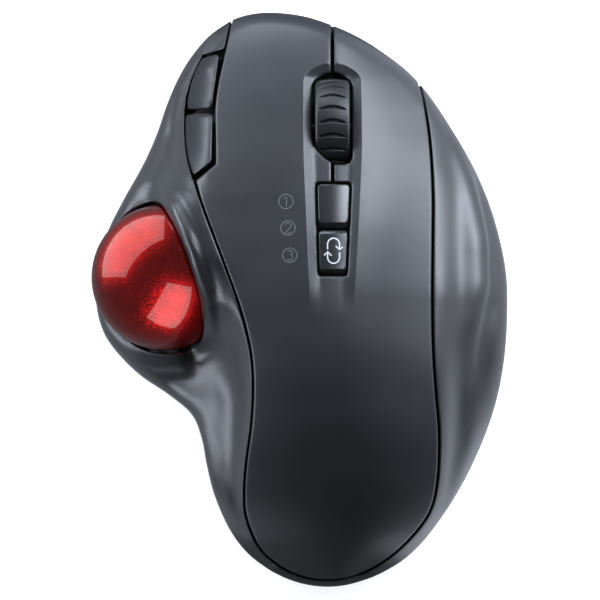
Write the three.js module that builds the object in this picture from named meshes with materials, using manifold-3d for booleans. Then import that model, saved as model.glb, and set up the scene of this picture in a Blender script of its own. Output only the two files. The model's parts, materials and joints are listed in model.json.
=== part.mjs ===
// A wireless thumb trackball mouse: a sculpted shell with the ball held in a thumb wing on the left,
// a one-piece top cover whose front is cut into two flexing keys, a scroll wheel and four small buttons.
// Frame: +X right, +Y front, +Z up, millimetres. The table is z = 0, under the middle of the object.
import * as THREE from "three";
import { mergeVertices } from "three/addons/utils/BufferGeometryUtils.js";
import Module from "manifold-3d";

const wasm = await Module();
wasm.setup();

// ---- driving dimensions ----
const WALL = 2; // thickness of the shell's skin
const GAP = 0.5; // joint between neighbouring panels
const EDGE_RADIUS = 3.6; // rounding of the shell's outer edge
const GRID = 4.4; // spacing of the shell surface's grid
const BASE_Z = 0.8; // underside of the base
const BASE_TOP = 2.4; // upper face of the base
const SHELL_FOOT = 1.1; // lower edge of the side shell
const TALL = 70; // higher than anything in the object
const BALL = { x: -31.6, y: 5.3, z: 21.6, r: 17 };
const BALL_CLEARANCE = 0.5;
const CUP_WALL = 1.1;
const FLEX_Y = 4; // line where the keys flex from the cover
const KEY_LIP_Z = 10.4; // lowest edge of the keys' noses
const FRONT_WALL_Z = 9.2; // top of the base's front wall
const CHANNEL_DEPTH = 1.5; // recess round the wheel and top buttons
const WHEEL = { x: 7.5, y: 39.8, z: 23.6, r: 11.7, width: 8.2, hub: 9.6, axle: 1.5, grooves: 22 };
const BOARD_Z = 3.2;
const BOARD_T = 1.2;
const BOARD_TOP = BOARD_Z + BOARD_T;
const PORT = { x: -4, z: 6.4, width: 8.9, height: 3.2, back: 58.6, front: 66 };

// ---- the shell's outline, seen from above ----
const OUTLINE = [
  [-8.3, 67.3], [0, 66.6], [7.4, 64.3], [14.2, 61.2], [20, 57.5], [25.5, 53.2], [30.5, 47.5], [35.3, 40.3],
  [40.3, 31.8], [44, 23.4], [46.6, 14.9], [48.2, 6.5], [48.5, -2], [47.8, -13.3], [45.7, -24.5],
  [41.7, -35.8], [35.8, -47.1], [27.8, -58], [19.8, -64], [11.4, -67], [4, -67.4], [-3.5, -65.4],
  [-11, -60.7], [-16, -54.5], [-19.8, -46], [-21.7, -38.6], [-22.9, -32.3], [-25.2, -26.8], [-30.5, -22.3],
  [-38, -17.2], [-44.3, -10.6], [-47.1, -4.8], [-48, 2], [-47.3, 9.7], [-44.9, 16.5], [-41.3, 23.6],
  [-37, 31.3], [-33.8, 38.5], [-31.3, 45.9], [-28.6, 52.2], [-25.3, 57.6], [-20.8, 62.6], [-15, 66],
];
// The seam round the top cover: front left to the notch behind the side buttons, then round the back.
const SEAM_FRONT = [
  [-14.6, 72], [-16, 65.8], [-17.6, 58.1], [-19.1, 51], [-19.9, 45], [-19.8, 38], [-19.7, 31.6],
];
const SEAM_BACK = [
  [-24.4, 27.7], [-22.6, 22], [-19.9, 14.8], [-16.9, 6.9], [-14.3, -0.3], [-12.4, -6.8], [-11.1, -13.5],
  [-10.8, -21.4], [-11.3, -29.3], [-12.4, -37.6], [-12.9, -44.7], [-12.4, -50.8], [-9.4, -58], [-4.8, -62.3],
  [0, -64.7], [5.3, -65.7], [11.6, -65.1], [17, -63], [22.4, -59.1], [27.5, -53.6], [30.6, -48.3],
  [31.9, -41.1], [32.1, -31], [31.3, -21.4], [30.7, -12], [30.5, 0], [30.7, 14.8], [30.8, 24], [30.4, 34.4],
  [29.4, 43.4], [27.9, 50.6], [25.2, 58], [20, 72],
];
// The slot between the keys: slit, wheel slot with its cut corner, slit, opening of the two top buttons.
const KEY_SLOT = [
  [7.25, 75], [7.25, 53.1], [5.4, 52.6], [3.6, 51.2], [2.8, 49], [2.8, 36.9], [7.25, 31.5], [7.25, 27.3],
  [3.4, 27.3], [4.3, 5.4], [7.4, 5.2], [7.4, 2], [7.8, 2], [7.8, 5.2], [10.9, 5.4], [11.9, 27.3],
  [8.05, 27.3], [8.05, 31.3], [10.4, 31.5], [11.8, 32.8], [12.3, 34.6], [12.3, 49], [11.5, 51.2], [9.7, 52.6],
  [8.05, 53.1], [8.05, 75],
];
// The opening of the two thumb buttons, and the buttons in it.
const SIDE_OPENING = [
  [-22.9, 57.6], [-25.3, 52.6], [-26.7, 48.4], [-27.1, 44], [-27.1, 39.8], [-26.7, 34.4], [-25, 27.9],
  [-12, 29], [-12, 58.6],
];
const FORWARD_BUTTON = [
  [-22.7, 56.9], [-24.8, 52.3], [-26.1, 48], [-26.4, 44.6], [-20.6, 44.6], [-19.9, 50.6], [-18.9, 57.5],
];
const BACK_BUTTON = [
  [-26.5, 43.4], [-26.5, 39.8], [-26.1, 34.4], [-24.7, 29], [-20.7, 31.8], [-20.6, 37], [-20.7, 43.4],
];
const DPI_BUTTON = [[4, 26.7], [11.4, 26.7], [11, 17.8], [4.3, 17.8]];
const MODE_BUTTON = [[4.4, 15.9], [11, 15.9], [10.5, 6.1], [4.7, 6.1]];
// Line round the ball's opening that the soft lip and grooves follow.
const BALL_RIM = [
  [-36, 22.2], [-33, 22.6], [-30.6, 20.8], [-28.6, 17.2], [-26.8, 13.4], [-24.6, 7.6], [-23.2, 2.6], [-22.4, -2],
  [-22, -6.5], [-22.4, -9], [-24.6, -11], [-28.4, -12], [-33, -12.2], [-38, -10.8],
];

// Edge of the ball's opening where it shows from above, from front to back.
const BALL_EDGE = [
  [-33.9, 23.1], [-32.2, 22.2], [-29.8, 18.7], [-27.5, 14], [-25.7, 9.3], [-23.9, 4], [-22.8, -1.3],
  [-22.4, -4.8], [-22.5, -7.7], [-23.4, -10.1], [-24.8, -11.3],
];
// The edge stays level with its surroundings beyond these points.
const BALL_EDGE_ENDS = [[-37, 22.6], [-29, -12.4], [-34, -12.6]];
const EDGE_CLEARANCE = 0.85; // between the ball and the opening's edge

// ---- the top surface: guide lines from the left edge to the right edge ----
// Each guide has the x of its path and its height, both as [y, value] along the object.
const GUIDES = [
  { // left edge
    x: [[66, -17], [62.6, -20.8], [57.6, -25.3], [52.2, -28.6], [45.9, -31.3], [38.5, -33.8], [31.3, -37],
      [23.6, -41.3], [16.5, -44.9], [9.7, -47.3], [2, -48], [-4.8, -47.1], [-10.6, -44.3], [-17.2, -38],
      [-22.3, -30.5], [-26.8, -25.2], [-32.3, -22.9], [-38.6, -21.7], [-46, -19.8], [-54.5, -16],
      [-60.7, -12], [-66, -9]],
    z: [[66, 10], [57, 9.6], [45, 10.4], [36, 13.4], [28, 16.4], [20, 16], [10, 13], [0, 12.4], [-10, 13],
      [-17, 15.2], [-22, 18.4], [-26, 22.6], [-33, 25.4], [-40, 24.8], [-46, 23], [-52, 19.4],
      [-60, 11.8], [-67, 6]],
  },
  { // thumb wing
    x: [[66, -16.9], [57, -23.9], [48, -29], [40, -31.2], [32, -33], [24, -34.5], [5, -34], [-10, -34],
      [-16, -30], [-21, -26], [-27, -22.9], [-33, -21.1], [-40, -19.9], [-47, -18.2], [-55, -14.7],
      [-62, -10]],
    z: [[66, 10.4], [57, 9.8], [48, 10.2], [40, 12.4], [34, 15.6], [30, 18.2], [26.5, 20.6], [23, 21.4],
      [16, 20.5], [5, 17.5], [-4, 17.5], [-11, 20.5], [-14, 20.5], [-18, 20.2], [-24, 23.4], [-33, 25.7],
      [-40, 25], [-46, 23.2], [-52, 19.6], [-62, 9.8]],
  },
  { // lip of the ball's opening, running on along the wall
    x: [[66, -16.8], [57, -23.6], [48, -28.5], [40, -30.1], [32, -30.6], [26, -30.6], [19.8, -28.6],
      [14.3, -25.4], [7.1, -22.9], [-1.3, -20.9], [-7.6, -20.4], [-12, -21.8], [-18, -21.4], [-25, -20],
      [-33, -18.8], [-40, -18.3], [-47, -17.5], [-55, -14], [-62, -8]],
    z: [[66, 10.8], [57, 10], [48, 10.4], [40, 12.8], [34, 17.6], [30, 22.4], [26, 28], [19.8, 35],
      [14.3, 38.6], [7.1, 40.1], [-1.3, 37.6], [-7.6, 32], [-12, 26.2], [-18, 25.4], [-25, 26.8],
      [-33, 27.1], [-40, 25.8], [-46, 23.9], [-52, 20], [-62, 10.4]],
  },
  { // crease at the foot of the main hump
    x: [[66, -16.6], [59.5, -22.3], [54, -25.4], [48, -27.4], [41.7, -28.3], [36, -28.4], [29, -27.4],
      [22, -25.3], [10, -21.9], [0, -19.2], [-7, -18.2], [-15, -16.6], [-22, -15.2], [-30, -15],
      [-38, -15.3], [-47, -14.8], [-55, -12.6], [-62, -7]],
    z: [[66, 11], [59.5, 10.8], [54, 12], [48, 14], [41.7, 16.4], [36, 19.8], [32, 24.4], [28, 29.4],
      [22, 35], [15, 38.3], [8, 40.1], [0, 39.3], [-7, 34.6], [-12, 31.4], [-15, 30.8], [-22, 31],
      [-30, 30.8], [-38, 29.2], [-46, 26], [-55, 19], [-62, 11.2]],
  },
  { // left shoulder of the hump
    x: [[66, -15.8], [55, -18], [45, -19.6], [35, -20.5], [25, -20.8], [15, -18.8], [5, -15.4],
      [-5, -12.2], [-15, -10.6], [-25, -10.4], [-35, -11.6], [-45, -12.4], [-55, -10], [-62, -5]],
    z: [[67, 14.6], [60, 19], [50, 24], [40, 28.4], [30, 32.9], [22, 36.3], [15, 39.1], [5, 42],
      [-5, 43.6], [-15, 43.9], [-25, 42], [-35, 37.6], [-45, 30.8], [-55, 21.5], [-62, 13], [-68, 6.5]],
  },
  { // crest
    x: [[66, 5], [40, 6.5], [0, 8], [-40, 9.5], [-66, 8]],
    z: [[67, 17.5], [64, 20], [60, 22.8], [50, 28.4], [40, 33.2], [30, 37.8], [15, 43.5], [0, 46.9],
      [-12, 48], [-25, 46.4], [-40, 40.2], [-50, 32.6], [-58, 23.5], [-64, 14], [-68, 7]],
  },
  { // right shoulder of the hump
    x: [[66, 16], [58, 22.5], [50.6, 27.4], [43.4, 29.6], [34.4, 30.6], [23.8, 31.1], [5, 30.9],
      [-14, 31.1], [-30, 32.2], [-41, 31.9], [-48, 30.4], [-54, 27.4], [-59, 22.2], [-64, 15]],
    z: [[67, 14], [58, 16.5], [50, 19.4], [43, 22.6], [34, 27.2], [24, 31.5], [10, 36], [0, 38.2],
      [-14, 39.2], [-30, 36], [-41, 29.8], [-48, 24.2], [-54, 18.6], [-59, 13.8], [-66, 7]],
  },
  { // rounded edge of the side beside the seam
    x: [[66, 17.2], [58, 23.7], [50.6, 28.9], [43.4, 31.4], [34.4, 32.5], [23.8, 33.1], [5, 33.1],
      [-14, 33.3], [-30, 34], [-41, 33.5], [-48, 31.9], [-54, 28.7], [-59, 23.4], [-64, 16.2]],
    z: [[67, 13.6], [58, 15.8], [50, 18.2], [43, 21], [34, 25.4], [24, 29.8], [10, 34.2], [0, 36.4],
      [-14, 37], [-30, 33.5], [-41, 27.2], [-48, 22], [-54, 17], [-59, 13], [-66, 6.8]],
  },
  { // finger scoop
    x: [[66, 18.2], [58, 24.7], [50.6, 30], [43.4, 33], [34.4, 35], [23.8, 36.2], [5, 36.6], [-14, 36.6],
      [-30, 36.3], [-41, 35], [-48, 33], [-54, 29.6], [-59, 24.4], [-64, 17.2]],
    z: [[67, 13], [58, 14.8], [50, 16.9], [43, 19], [34, 22.4], [24, 26.4], [10, 30.5], [0, 32.4],
      [-8, 32.8], [-16, 31.8], [-30, 28], [-41, 23.2], [-48, 19], [-54, 15], [-59, 12], [-66, 6.6]],
  },
  { // ridge under the scoop
    x: [[66, 19.5], [58, 26], [50.6, 31.2], [43.4, 35.4], [34.4, 38.5], [23.8, 41.4], [11, 43.5],
      [5, 43.5], [-3.2, 42.2], [-10.4, 40.6], [-20, 39.6], [-30, 38.8], [-41, 36.7], [-48, 34],
      [-54, 30.4], [-59, 25.4], [-64, 18.2]],
    z: [[67, 12.4], [58, 13.6], [50, 15.2], [43, 16.8], [34, 19], [24, 21.4], [11, 24.2], [0, 26.8],
      [-10, 28.3], [-20, 27.6], [-30, 25], [-41, 20.6], [-48, 17], [-54, 13.6], [-59, 11.2],
      [-66, 6.4]],
  },
  { // foot of the ridge
    x: [[66, 20.5], [58, 27], [50.6, 32.2], [43.4, 36.4], [34.4, 39.4], [23.8, 42.2], [11, 44.3],
      [5, 44.4], [-3.2, 43.1], [-10.4, 41.8], [-20, 41.2], [-30, 40.4], [-41, 37.8], [-48, 34.9],
      [-54, 31.2], [-59, 26.3], [-64, 19]],
    z: [[67, 12], [58, 12.8], [50, 14.1], [43, 15.4], [34, 17.1], [24, 19.1], [11, 21.6], [0, 24.4],
      [-10, 26.5], [-20, 25.9], [-30, 23.2], [-41, 18.9], [-48, 15.4], [-54, 12.2], [-59, 10.4],
      [-66, 6.2]],
  },
  { // right edge
    x: [[66, 24], [58, 30], [53.2, 32], [47.5, 34], [40.3, 37.5], [31.8, 41.5], [23.4, 44.6],
      [14.9, 46.8], [6.5, 48.3], [-2, 48.6], [-13.3, 47.9], [-24.5, 45.8], [-35.8, 41.8], [-47.1, 37],
      [-58, 31], [-64, 27]],
    z: [[66, 10], [50, 12], [40, 14.2], [30, 16.2], [20, 17.6], [10, 18.4], [0, 19.6], [-12, 20.8],
      [-22, 19.6], [-30, 17], [-41, 13], [-50, 10], [-60, 8], [-66, 5.6]],
  },
];
const CHANNEL_LEFT = [[60, 1.2], [50, 0.8], [38, 0.8], [20, 1.4], [5, 2], [-6, 2.6]];
const CHANNEL_RIGHT = [[60, 13.8], [50, 14.2], [38, 14.3], [20, 13.6], [5, 12.7], [-6, 12]];
const CHANNEL_FRONT = { y: 50.6, rise: 4.5 };
const CHANNEL_BACK = -4;
const CHANNEL_FULL = 14; // the recess has its full depth in front of here

// ---- curves ----
// Tangents of a curve through rising [t, value] points, chosen so that it never overshoots them.
function tangents(t, v) {
  const last = t.length - 1;
  const h = t.slice(1).map((ti, i) => ti - t[i]);
  const s = h.map((hi, i) => (v[i + 1] - v[i]) / hi);
  return t.map((_, i) => {
    if (i === 0) return s[0];
    if (i === last) return s[last - 1];
    if (s[i - 1] * s[i] <= 0) return 0;
    const w1 = 2 * h[i] + h[i - 1];
    const w2 = h[i] + 2 * h[i - 1];
    return (w1 + w2) / (w1 / s[i - 1] + w2 / s[i]);
  });
}

function hermite(t, v, m, at) {
  let i = 0;
  while (i < t.length - 2 && at > t[i + 1]) i++;
  const h = t[i + 1] - t[i];
  const u = (at - t[i]) / h;
  const a = 2 * u ** 3 - 3 * u ** 2 + 1;
  const b = u ** 3 - 2 * u ** 2 + u;
  const c = u ** 3 - u ** 2;
  return a * v[i] + b * h * m[i] + (1 - a) * v[i + 1] + c * h * m[i + 1];
}

// A smooth function through [t, value] points, held level beyond its ends.
function track(points) {
  const sorted = [...points].sort((p, q) => p[0] - q[0]);
  const t = sorted.map((p) => p[0]);
  const v = sorted.map((p) => p[1]);
  const m = tangents(t, v);
  return (at) => hermite(t, v, m, Math.min(Math.max(at, t[0]), t[t.length - 1]));
}

// Points along a smooth closed or open curve through the given [x, y] points.
function smoothPath(points, closed, steps) {
  const at = points.map(([x, y]) => new THREE.Vector3(x, y, 0));
  const curve = new THREE.CatmullRomCurve3(at, closed, "catmullrom", 0.5);
  const path = curve.getPoints(steps).map((p) => [p.x, p.y]);
  if (closed) path.pop();
  return path;
}

function segmentDistance(x, y, [ax, ay], [bx, by]) {
  const dx = bx - ax;
  const dy = by - ay;
  const t = Math.min(Math.max(((x - ax) * dx + (y - ay) * dy) / (dx * dx + dy * dy), 0), 1);
  return Math.hypot(x - ax - t * dx, y - ay - t * dy);
}

function pathDistance(x, y, path, closed) {
  let nearest = Infinity;
  const count = closed ? path.length : path.length - 1;
  for (let i = 0; i < count; i++) {
    nearest = Math.min(nearest, segmentDistance(x, y, path[i], path[(i + 1) % path.length]));
  }
  return nearest;
}

function inside(x, y, path) {
  let odd = false;
  for (let i = 0, j = path.length - 1; i < path.length; j = i++) {
    const [xi, yi] = path[i];
    const [xj, yj] = path[j];
    if (yi > y !== yj > y && x < ((xj - xi) * (y - yi)) / (yj - yi) + xi) odd = !odd;
  }
  return odd;
}

// The closed path moved sideways: positive grows it.
function offset(path, by) {
  const area = path.reduce((sum, [x, y], i) => {
    const [nx, ny] = path[(i + 1) % path.length];
    return sum + x * ny - nx * y;
  }, 0);
  const side = Math.sign(area) * by;
  return path.map(([x, y], i) => {
    const [px, py] = path[(i + path.length - 1) % path.length];
    const [nx, ny] = path[(i + 1) % path.length];
    const before = new THREE.Vector2(y - py, px - x).normalize();
    const after = new THREE.Vector2(ny - y, x - nx).normalize();
    const normal = before.clone().add(after).normalize();
    const reach = side / Math.max(normal.dot(before), 0.5);
    return [x + normal.x * reach, y + normal.y * reach];
  });
}

const outline = smoothPath(OUTLINE, true, 72);
const seamBack = smoothPath(SEAM_BACK, false, 52);
const coverOutline = [...smoothPath(SEAM_FRONT, false, 10), ...seamBack];
const guides = GUIDES.map((g) => ({ x: track(g.x), z: track(g.z) }));
const channelLeft = track(CHANNEL_LEFT);
const channelRight = track(CHANNEL_RIGHT);

const GUIDE_SPACING = 0.15; // least distance between two guide lines on one section

function section(y) {
  const x = guides.map((g) => g.x(y));
  for (let i = 1; i < x.length; i++) x[i] = Math.max(x[i], x[i - 1] + GUIDE_SPACING);
  const z = guides.map((g) => g.z(y));
  const m = tangents(x, z);
  const last = x.length - 1;
  return (at) => {
    if (at < x[0]) return z[0] + m[0] * (at - x[0]);
    if (at > x[last]) return z[last] + m[last] * (at - x[last]);
    return hermite(x, z, m, at);
  };
}

function ramp(from, to, at) {
  const t = Math.min(Math.max((at - from) / (to - from), 0), 1);
  return t * t * (3 - 2 * t);
}

// The lip and the two soft grooves that ring the ball's opening.
function ballLip(x, y) {
  const d = pathDistance(x, y, BALL_RIM, false);
  const ring = 0.15 * Math.exp(-(((d - 1.2) / 0.9) ** 2)) - 0.28 * Math.exp(-((d - 3.2) ** 2));
  return ramp(-42, -34, x) * (ring + 0.2 * Math.exp(-((d - 5) ** 2)));
}

// How far the opening's edge has to rise or fall to stand just clear of the ball.
const edgeLifts = smoothPath(BALL_EDGE, false, 40).map(([x, y]) => {
  const flat = (x - BALL.x) ** 2 + (y - BALL.y) ** 2;
  const clear = BALL.z + Math.sqrt(Math.max((BALL.r + EDGE_CLEARANCE) ** 2 - flat, 0));
  return [x, y, clear - section(y)(x)];
});
for (const [x, y] of BALL_EDGE_ENDS) edgeLifts.push([x, y, 0]);
const COLLAR_BLUR = 2; // distance over which neighbouring lifts blend
const COLLAR_REACH = 4.5; // distance over which the collar fades out

// Brings the surface to the opening's edge and fades out away from it.
function ballCollar(x, y) {
  let total = 1e-9;
  let sum = 0;
  let near = Infinity;
  for (const [ex, ey, lift] of edgeLifts) {
    const away = Math.hypot(x - ex, y - ey);
    const weight = Math.exp(-((away / COLLAR_BLUR) ** 2));
    near = Math.min(near, away);
    total += weight;
    sum += weight * lift;
  }
  return (sum / total) * Math.exp(-((near / COLLAR_REACH) ** 2));
}

const EDGE_DROP = 0.9 * EDGE_RADIUS; // how far the rounded outer edge falls

// Height of the finished top surface, without the channel. row is the section at y.
function surface(x, y, row) {
  const rim = inside(x, y, outline) ? pathDistance(x, y, outline, true) : 0;
  const e = Math.max(1 - rim / EDGE_RADIUS, 0);
  return row(x) + ballCollar(x, y) + ballLip(x, y) - EDGE_DROP * (1 - Math.sqrt(1 - e * e));
}

const GRID_X = { from: -51, to: 51 };
const GRID_Y = { from: -70, to: 70 };
const STEEPEST = 2.2; // most that the skin's vertical thickness grows on a slope
const STEP = 0.5; // distance over which a slope is measured

// Heights of the surface on the grid, and the skin's vertical thickness there.
function surveySurface() {
  const nx = Math.ceil((GRID_X.to - GRID_X.from) / GRID);
  const ny = Math.ceil((GRID_Y.to - GRID_Y.from) / GRID);
  const rows = [];
  for (let j = 0; j <= ny; j++) {
    const y = GRID_Y.from + ((GRID_Y.to - GRID_Y.from) * j) / ny;
    const row = section(y);
    const ahead = section(y + STEP);
    rows.push(
      Array.from({ length: nx + 1 }, (_, i) => {
        const x = GRID_X.from + ((GRID_X.to - GRID_X.from) * i) / nx;
        const z = surface(x, y, row);
        const slope = Math.hypot(row(x + STEP) - row(x), ahead(x) - row(x)) / STEP;
        return { x, y, z, thick: Math.min(Math.hypot(1, slope), STEEPEST) };
      }),
    );
  }
  return rows;
}
const survey = surveySurface();

// ---- solids ----
function solid(geometry) {
  const bare = geometry.clone();
  bare.deleteAttribute("normal");
  bare.deleteAttribute("uv");
  const merged = mergeVertices(bare, 1e-4);
  const vertProperties = merged.attributes.position.array;
  const triVerts = new Uint32Array(merged.index.array);
  return new wasm.Manifold(new wasm.Mesh({ numProp: 3, vertProperties, triVerts }));
}

function geometryOf(manifold) {
  const mesh = manifold.getMesh();
  const geometry = new THREE.BufferGeometry();
  geometry.setAttribute("position", new THREE.BufferAttribute(new Float32Array(mesh.vertProperties), 3));
  geometry.setIndex(new THREE.BufferAttribute(new Uint32Array(mesh.triVerts), 1));
  geometry.computeVertexNormals();
  return geometry;
}

const join = (...parts) => parts.reduce((a, b) => a.add(b));
const cut = (from, ...parts) => parts.reduce((a, b) => a.subtract(b), from);

// An upright prism on an outline, from z0 to z1.
function prism(path, z0, z1) {
  const shape = new THREE.Shape(path.map(([x, y]) => new THREE.Vector2(x, y)));
  const geometry = new THREE.ExtrudeGeometry(shape, { depth: z1 - z0, bevelEnabled: false });
  return solid(geometry.translate(0, 0, z0));
}

function block(x0, x1, y0, y1, z0, z1) {
  const geometry = new THREE.BoxGeometry(x1 - x0, y1 - y0, z1 - z0);
  return solid(geometry.translate((x0 + x1) / 2, (y0 + y1) / 2, (z0 + z1) / 2));
}

function post(x, y, z0, z1, r, sides = 14) {
  const geometry = new THREE.CylinderGeometry(r, r, z1 - z0, sides).rotateX(Math.PI / 2);
  return solid(geometry.translate(x, y, (z0 + z1) / 2));
}

function rod(y, z, x0, x1, r, sides = 16) {
  const geometry = new THREE.CylinderGeometry(r, r, x1 - x0, sides).rotateZ(Math.PI / 2);
  return solid(geometry.translate((x0 + x1) / 2, y, z));
}

function sphere(x, y, z, r, sides) {
  return solid(new THREE.SphereGeometry(r, sides, sides / 2).translate(x, y, z));
}

// Everything under the top surface lowered by drop(point), down to floor.
function underSurface(drop, floor) {
  const rows = survey.length;
  const columns = survey[0].length;
  const places = survey.flat();
  const points = places.flatMap((p) => [p.x, p.y, Math.max(p.z - drop(p), floor + 0.1)]);
  const low = places.length;
  points.push(...places.flatMap((p) => [p.x, p.y, floor]));
  const faces = [];
  const at = (j, i) => j * columns + i;
  for (let j = 0; j < rows - 1; j++) {
    for (let i = 0; i < columns - 1; i++) {
      const [a, b, c, d] = [at(j, i), at(j, i + 1), at(j + 1, i + 1), at(j + 1, i)];
      faces.push(a, b, c, a, c, d);
      faces.push(low + a, low + c, low + b, low + a, low + d, low + c);
    }
  }
  const wall = (a, b) => faces.push(a, low + a, low + b, a, low + b, b);
  for (let i = 0; i < columns - 1; i++) {
    wall(at(0, i), at(0, i + 1));
    wall(at(rows - 1, i + 1), at(rows - 1, i));
  }
  for (let j = 0; j < rows - 1; j++) {
    wall(at(j + 1, 0), at(j, 0));
    wall(at(j, columns - 1), at(j + 1, columns - 1));
  }
  const geometry = new THREE.BufferGeometry();
  geometry.setAttribute("position", new THREE.BufferAttribute(new Float32Array(points), 3));
  geometry.setIndex(faces);
  return solid(geometry);
}

const BELOW = -2; // lower than anything in the object
const ROOM = 0.5; // kept free between the skin and what is inside
// The solid case, the space inside its skin, and the part of that space that things may fill.
const body = underSurface(() => 0, SHELL_FOOT).intersect(prism(outline, SHELL_FOOT, TALL));
const hollow = underSurface((p) => WALL * p.thick, BELOW);
const cavity = hollow.intersect(prism(offset(outline, -WALL), BELOW, TALL));
const inner = underSurface((p) => WALL * p.thick + ROOM, BELOW);
const clear = inner.intersect(prism(offset(outline, -WALL - ROOM), BELOW, TALL));
const ballSpace = sphere(BALL.x, BALL.y, BALL.z, BALL.r + BALL_CLEARANCE, 32);

// The recess round the wheel and the top buttons, as the solid it removes.
function channel() {
  const sides = [CHANNEL_FRONT.y, 44, 38, 30, 20, 12, 5, CHANNEL_BACK];
  const left = sides.map((y) => [channelLeft(y), y]);
  const right = sides.map((y) => [channelRight(y), y]).reverse();
  const middle = (channelLeft(CHANNEL_FRONT.y) + channelRight(CHANNEL_FRONT.y)) / 2;
  const half = (channelRight(CHANNEL_FRONT.y) - channelLeft(CHANNEL_FRONT.y)) / 2;
  const arc = [];
  for (let k = 1; k < 8; k++) {
    const angle = (Math.PI * k) / 8;
    arc.push([middle + half * Math.cos(angle), CHANNEL_FRONT.y + CHANNEL_FRONT.rise * Math.sin(angle)]);
  }
  const path = [...right, ...arc, ...left];
  const floor = underSurface((p) => CHANNEL_DEPTH * ramp(CHANNEL_BACK, CHANNEL_FULL, p.y), BELOW);
  return cut(prism(path, 20, TALL), floor);
}
const channelSpace = channel();

const group = new THREE.Group();
function piece(name, manifold, colour, roughness, metalness = 0) {
  const material = new THREE.MeshStandardMaterial({ color: colour, roughness, metalness });
  const mesh = new THREE.Mesh(geometryOf(manifold), material);
  mesh.name = name;
  group.add(mesh);
  return mesh;
}

const SATIN = 0x33363c;
const DARK = 0x1d1f22;
const BOARD_GREEN = 0x1f5b3a;

// ---- screws, and the bosses that they hold ----
const SCREWS = {
  left: { x: -24.5, y: -17.5, host: "side" },
  right: { x: 38, y: 14, host: "side" },
  rear_left: { x: -5, y: -22, host: "palm" },
  rear_right: { x: 25, y: -22, host: "palm" },
};
const BOSS = { r: 3, bore: 1.6, screw: 1.3, head: 2.6, headSeat: 1.8 };

// A post from the skin down to the base, bored for its screw.
function boss({ x, y }) {
  const bar = post(x, y, BASE_TOP + 0.4, TALL, BOSS.r).intersect(body);
  return cut(bar, post(x, y, 0, 14, BOSS.bore));
}

function bossesOf(host) {
  return Object.values(SCREWS)
    .filter((s) => s.host === host)
    .map(boss);
}

function makeScrews() {
  for (const [name, { x, y }] of Object.entries(SCREWS)) {
    const shank = post(x, y, BOSS.headSeat - 0.5, 12, BOSS.screw);
    const head = post(x, y, BASE_Z + 0.1, BOSS.headSeat, BOSS.head - 0.3);
    const drive = join(
      block(x - 1.3, x + 1.3, y - 0.25, y + 0.25, BASE_Z, BASE_Z + 0.6),
      block(x - 0.25, x + 0.25, y - 1.3, y + 1.3, BASE_Z, BASE_Z + 0.6),
    );
    piece("case_screw_" + name, cut(join(shank, head), drive), 0x9a9da1, 0.35, 1);
  }
}

// ---- shell panels ----
function makeShell() {
  const cover = prism(offset(coverOutline, -GAP / 2), 2, TALL);
  const skin = cut(body, hollow);
  const lid = cut(skin.intersect(cover), channelSpace);
  const slot = prism(KEY_SLOT, 0, TALL);

  const palmZone = block(-60, 60, -80, FLEX_Y - 0.2, 0, TALL);
  const bosses = bossesOf("palm");
  piece("palm_cover", cut(join(lid.intersect(palmZone), ...bosses), slot), SATIN, 0.55);

  const wheelWell = rod(WHEEL.y, WHEEL.z, WHEEL.x - 4.7, WHEEL.x + 4.7, WHEEL.r + 0.9, 28);
  const keys = cut(lid, slot, wheelWell).intersect(block(-60, 60, FLEX_Y + 0.2, 80, KEY_LIP_Z, TALL));
  const keyPost = (s) => post(s.x, s.y, s.top + 1, TALL, 2).intersect(body);
  const left = block(-60, 7.6, FLEX_Y, 80, 0, TALL);
  const right = block(7.6, 60, FLEX_Y, 80, 0, TALL);
  piece("left_key", join(keys.intersect(left), keyPost(KEY_SWITCHES.left)), SATIN, 0.55);
  piece("right_key", join(keys.intersect(right), keyPost(KEY_SWITCHES.right)), SATIN, 0.55);

  const walls = cut(body, cavity);
  const side = cut(walls, prism(offset(coverOutline, GAP / 2), 0, TALL), prism(SIDE_OPENING, 0, TALL));
  const sideBosses = join(...bossesOf("side"));
  piece("side_shell", cut(join(side, sideBosses), ballSpace), 0x3a3d44, 0.5);
}

// ---- side buttons, top buttons ----
const BUTTON_T = 1.6; // a side button's thickness
const TOP_BUTTON_T = 2.6; // a top button's thickness
function makeButtons() {
  const cap = (path, raise) =>
    cut(
      underSurface(() => -raise, 2).intersect(prism(path, 2, TALL)),
      underSurface((p) => BUTTON_T * p.thick, 0),
    );
  const stem = (x, y, z) => post(x, y, z, TALL, 1.3).intersect(body);
  for (const s of SIDE_SWITCHES) {
    const path = s.name === "forward" ? FORWARD_BUTTON : BACK_BUTTON;
    piece(s.name + "_button", join(cap(path, 0.2), stem(s.x, s.y, s.top + 0.9)), 0x4a4e56, 0.35);
  }
  const sunk = CHANNEL_DEPTH * 0.6;
  for (const s of TOP_SWITCHES) {
    const path = s.name === "dpi" ? DPI_BUTTON : MODE_BUTTON;
    const plate = cut(
      underSurface(() => sunk, 2).intersect(prism(path, 2, TALL)),
      underSurface(() => sunk + TOP_BUTTON_T, 0),
    );
    const foot = stem(s.x, s.y, s.top + 0.9).intersect(underSurface(() => sunk + TOP_BUTTON_T - 0.5, 0));
    piece(s.name + "_button", join(plate, foot), DARK, 0.3);
  }
}

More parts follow.
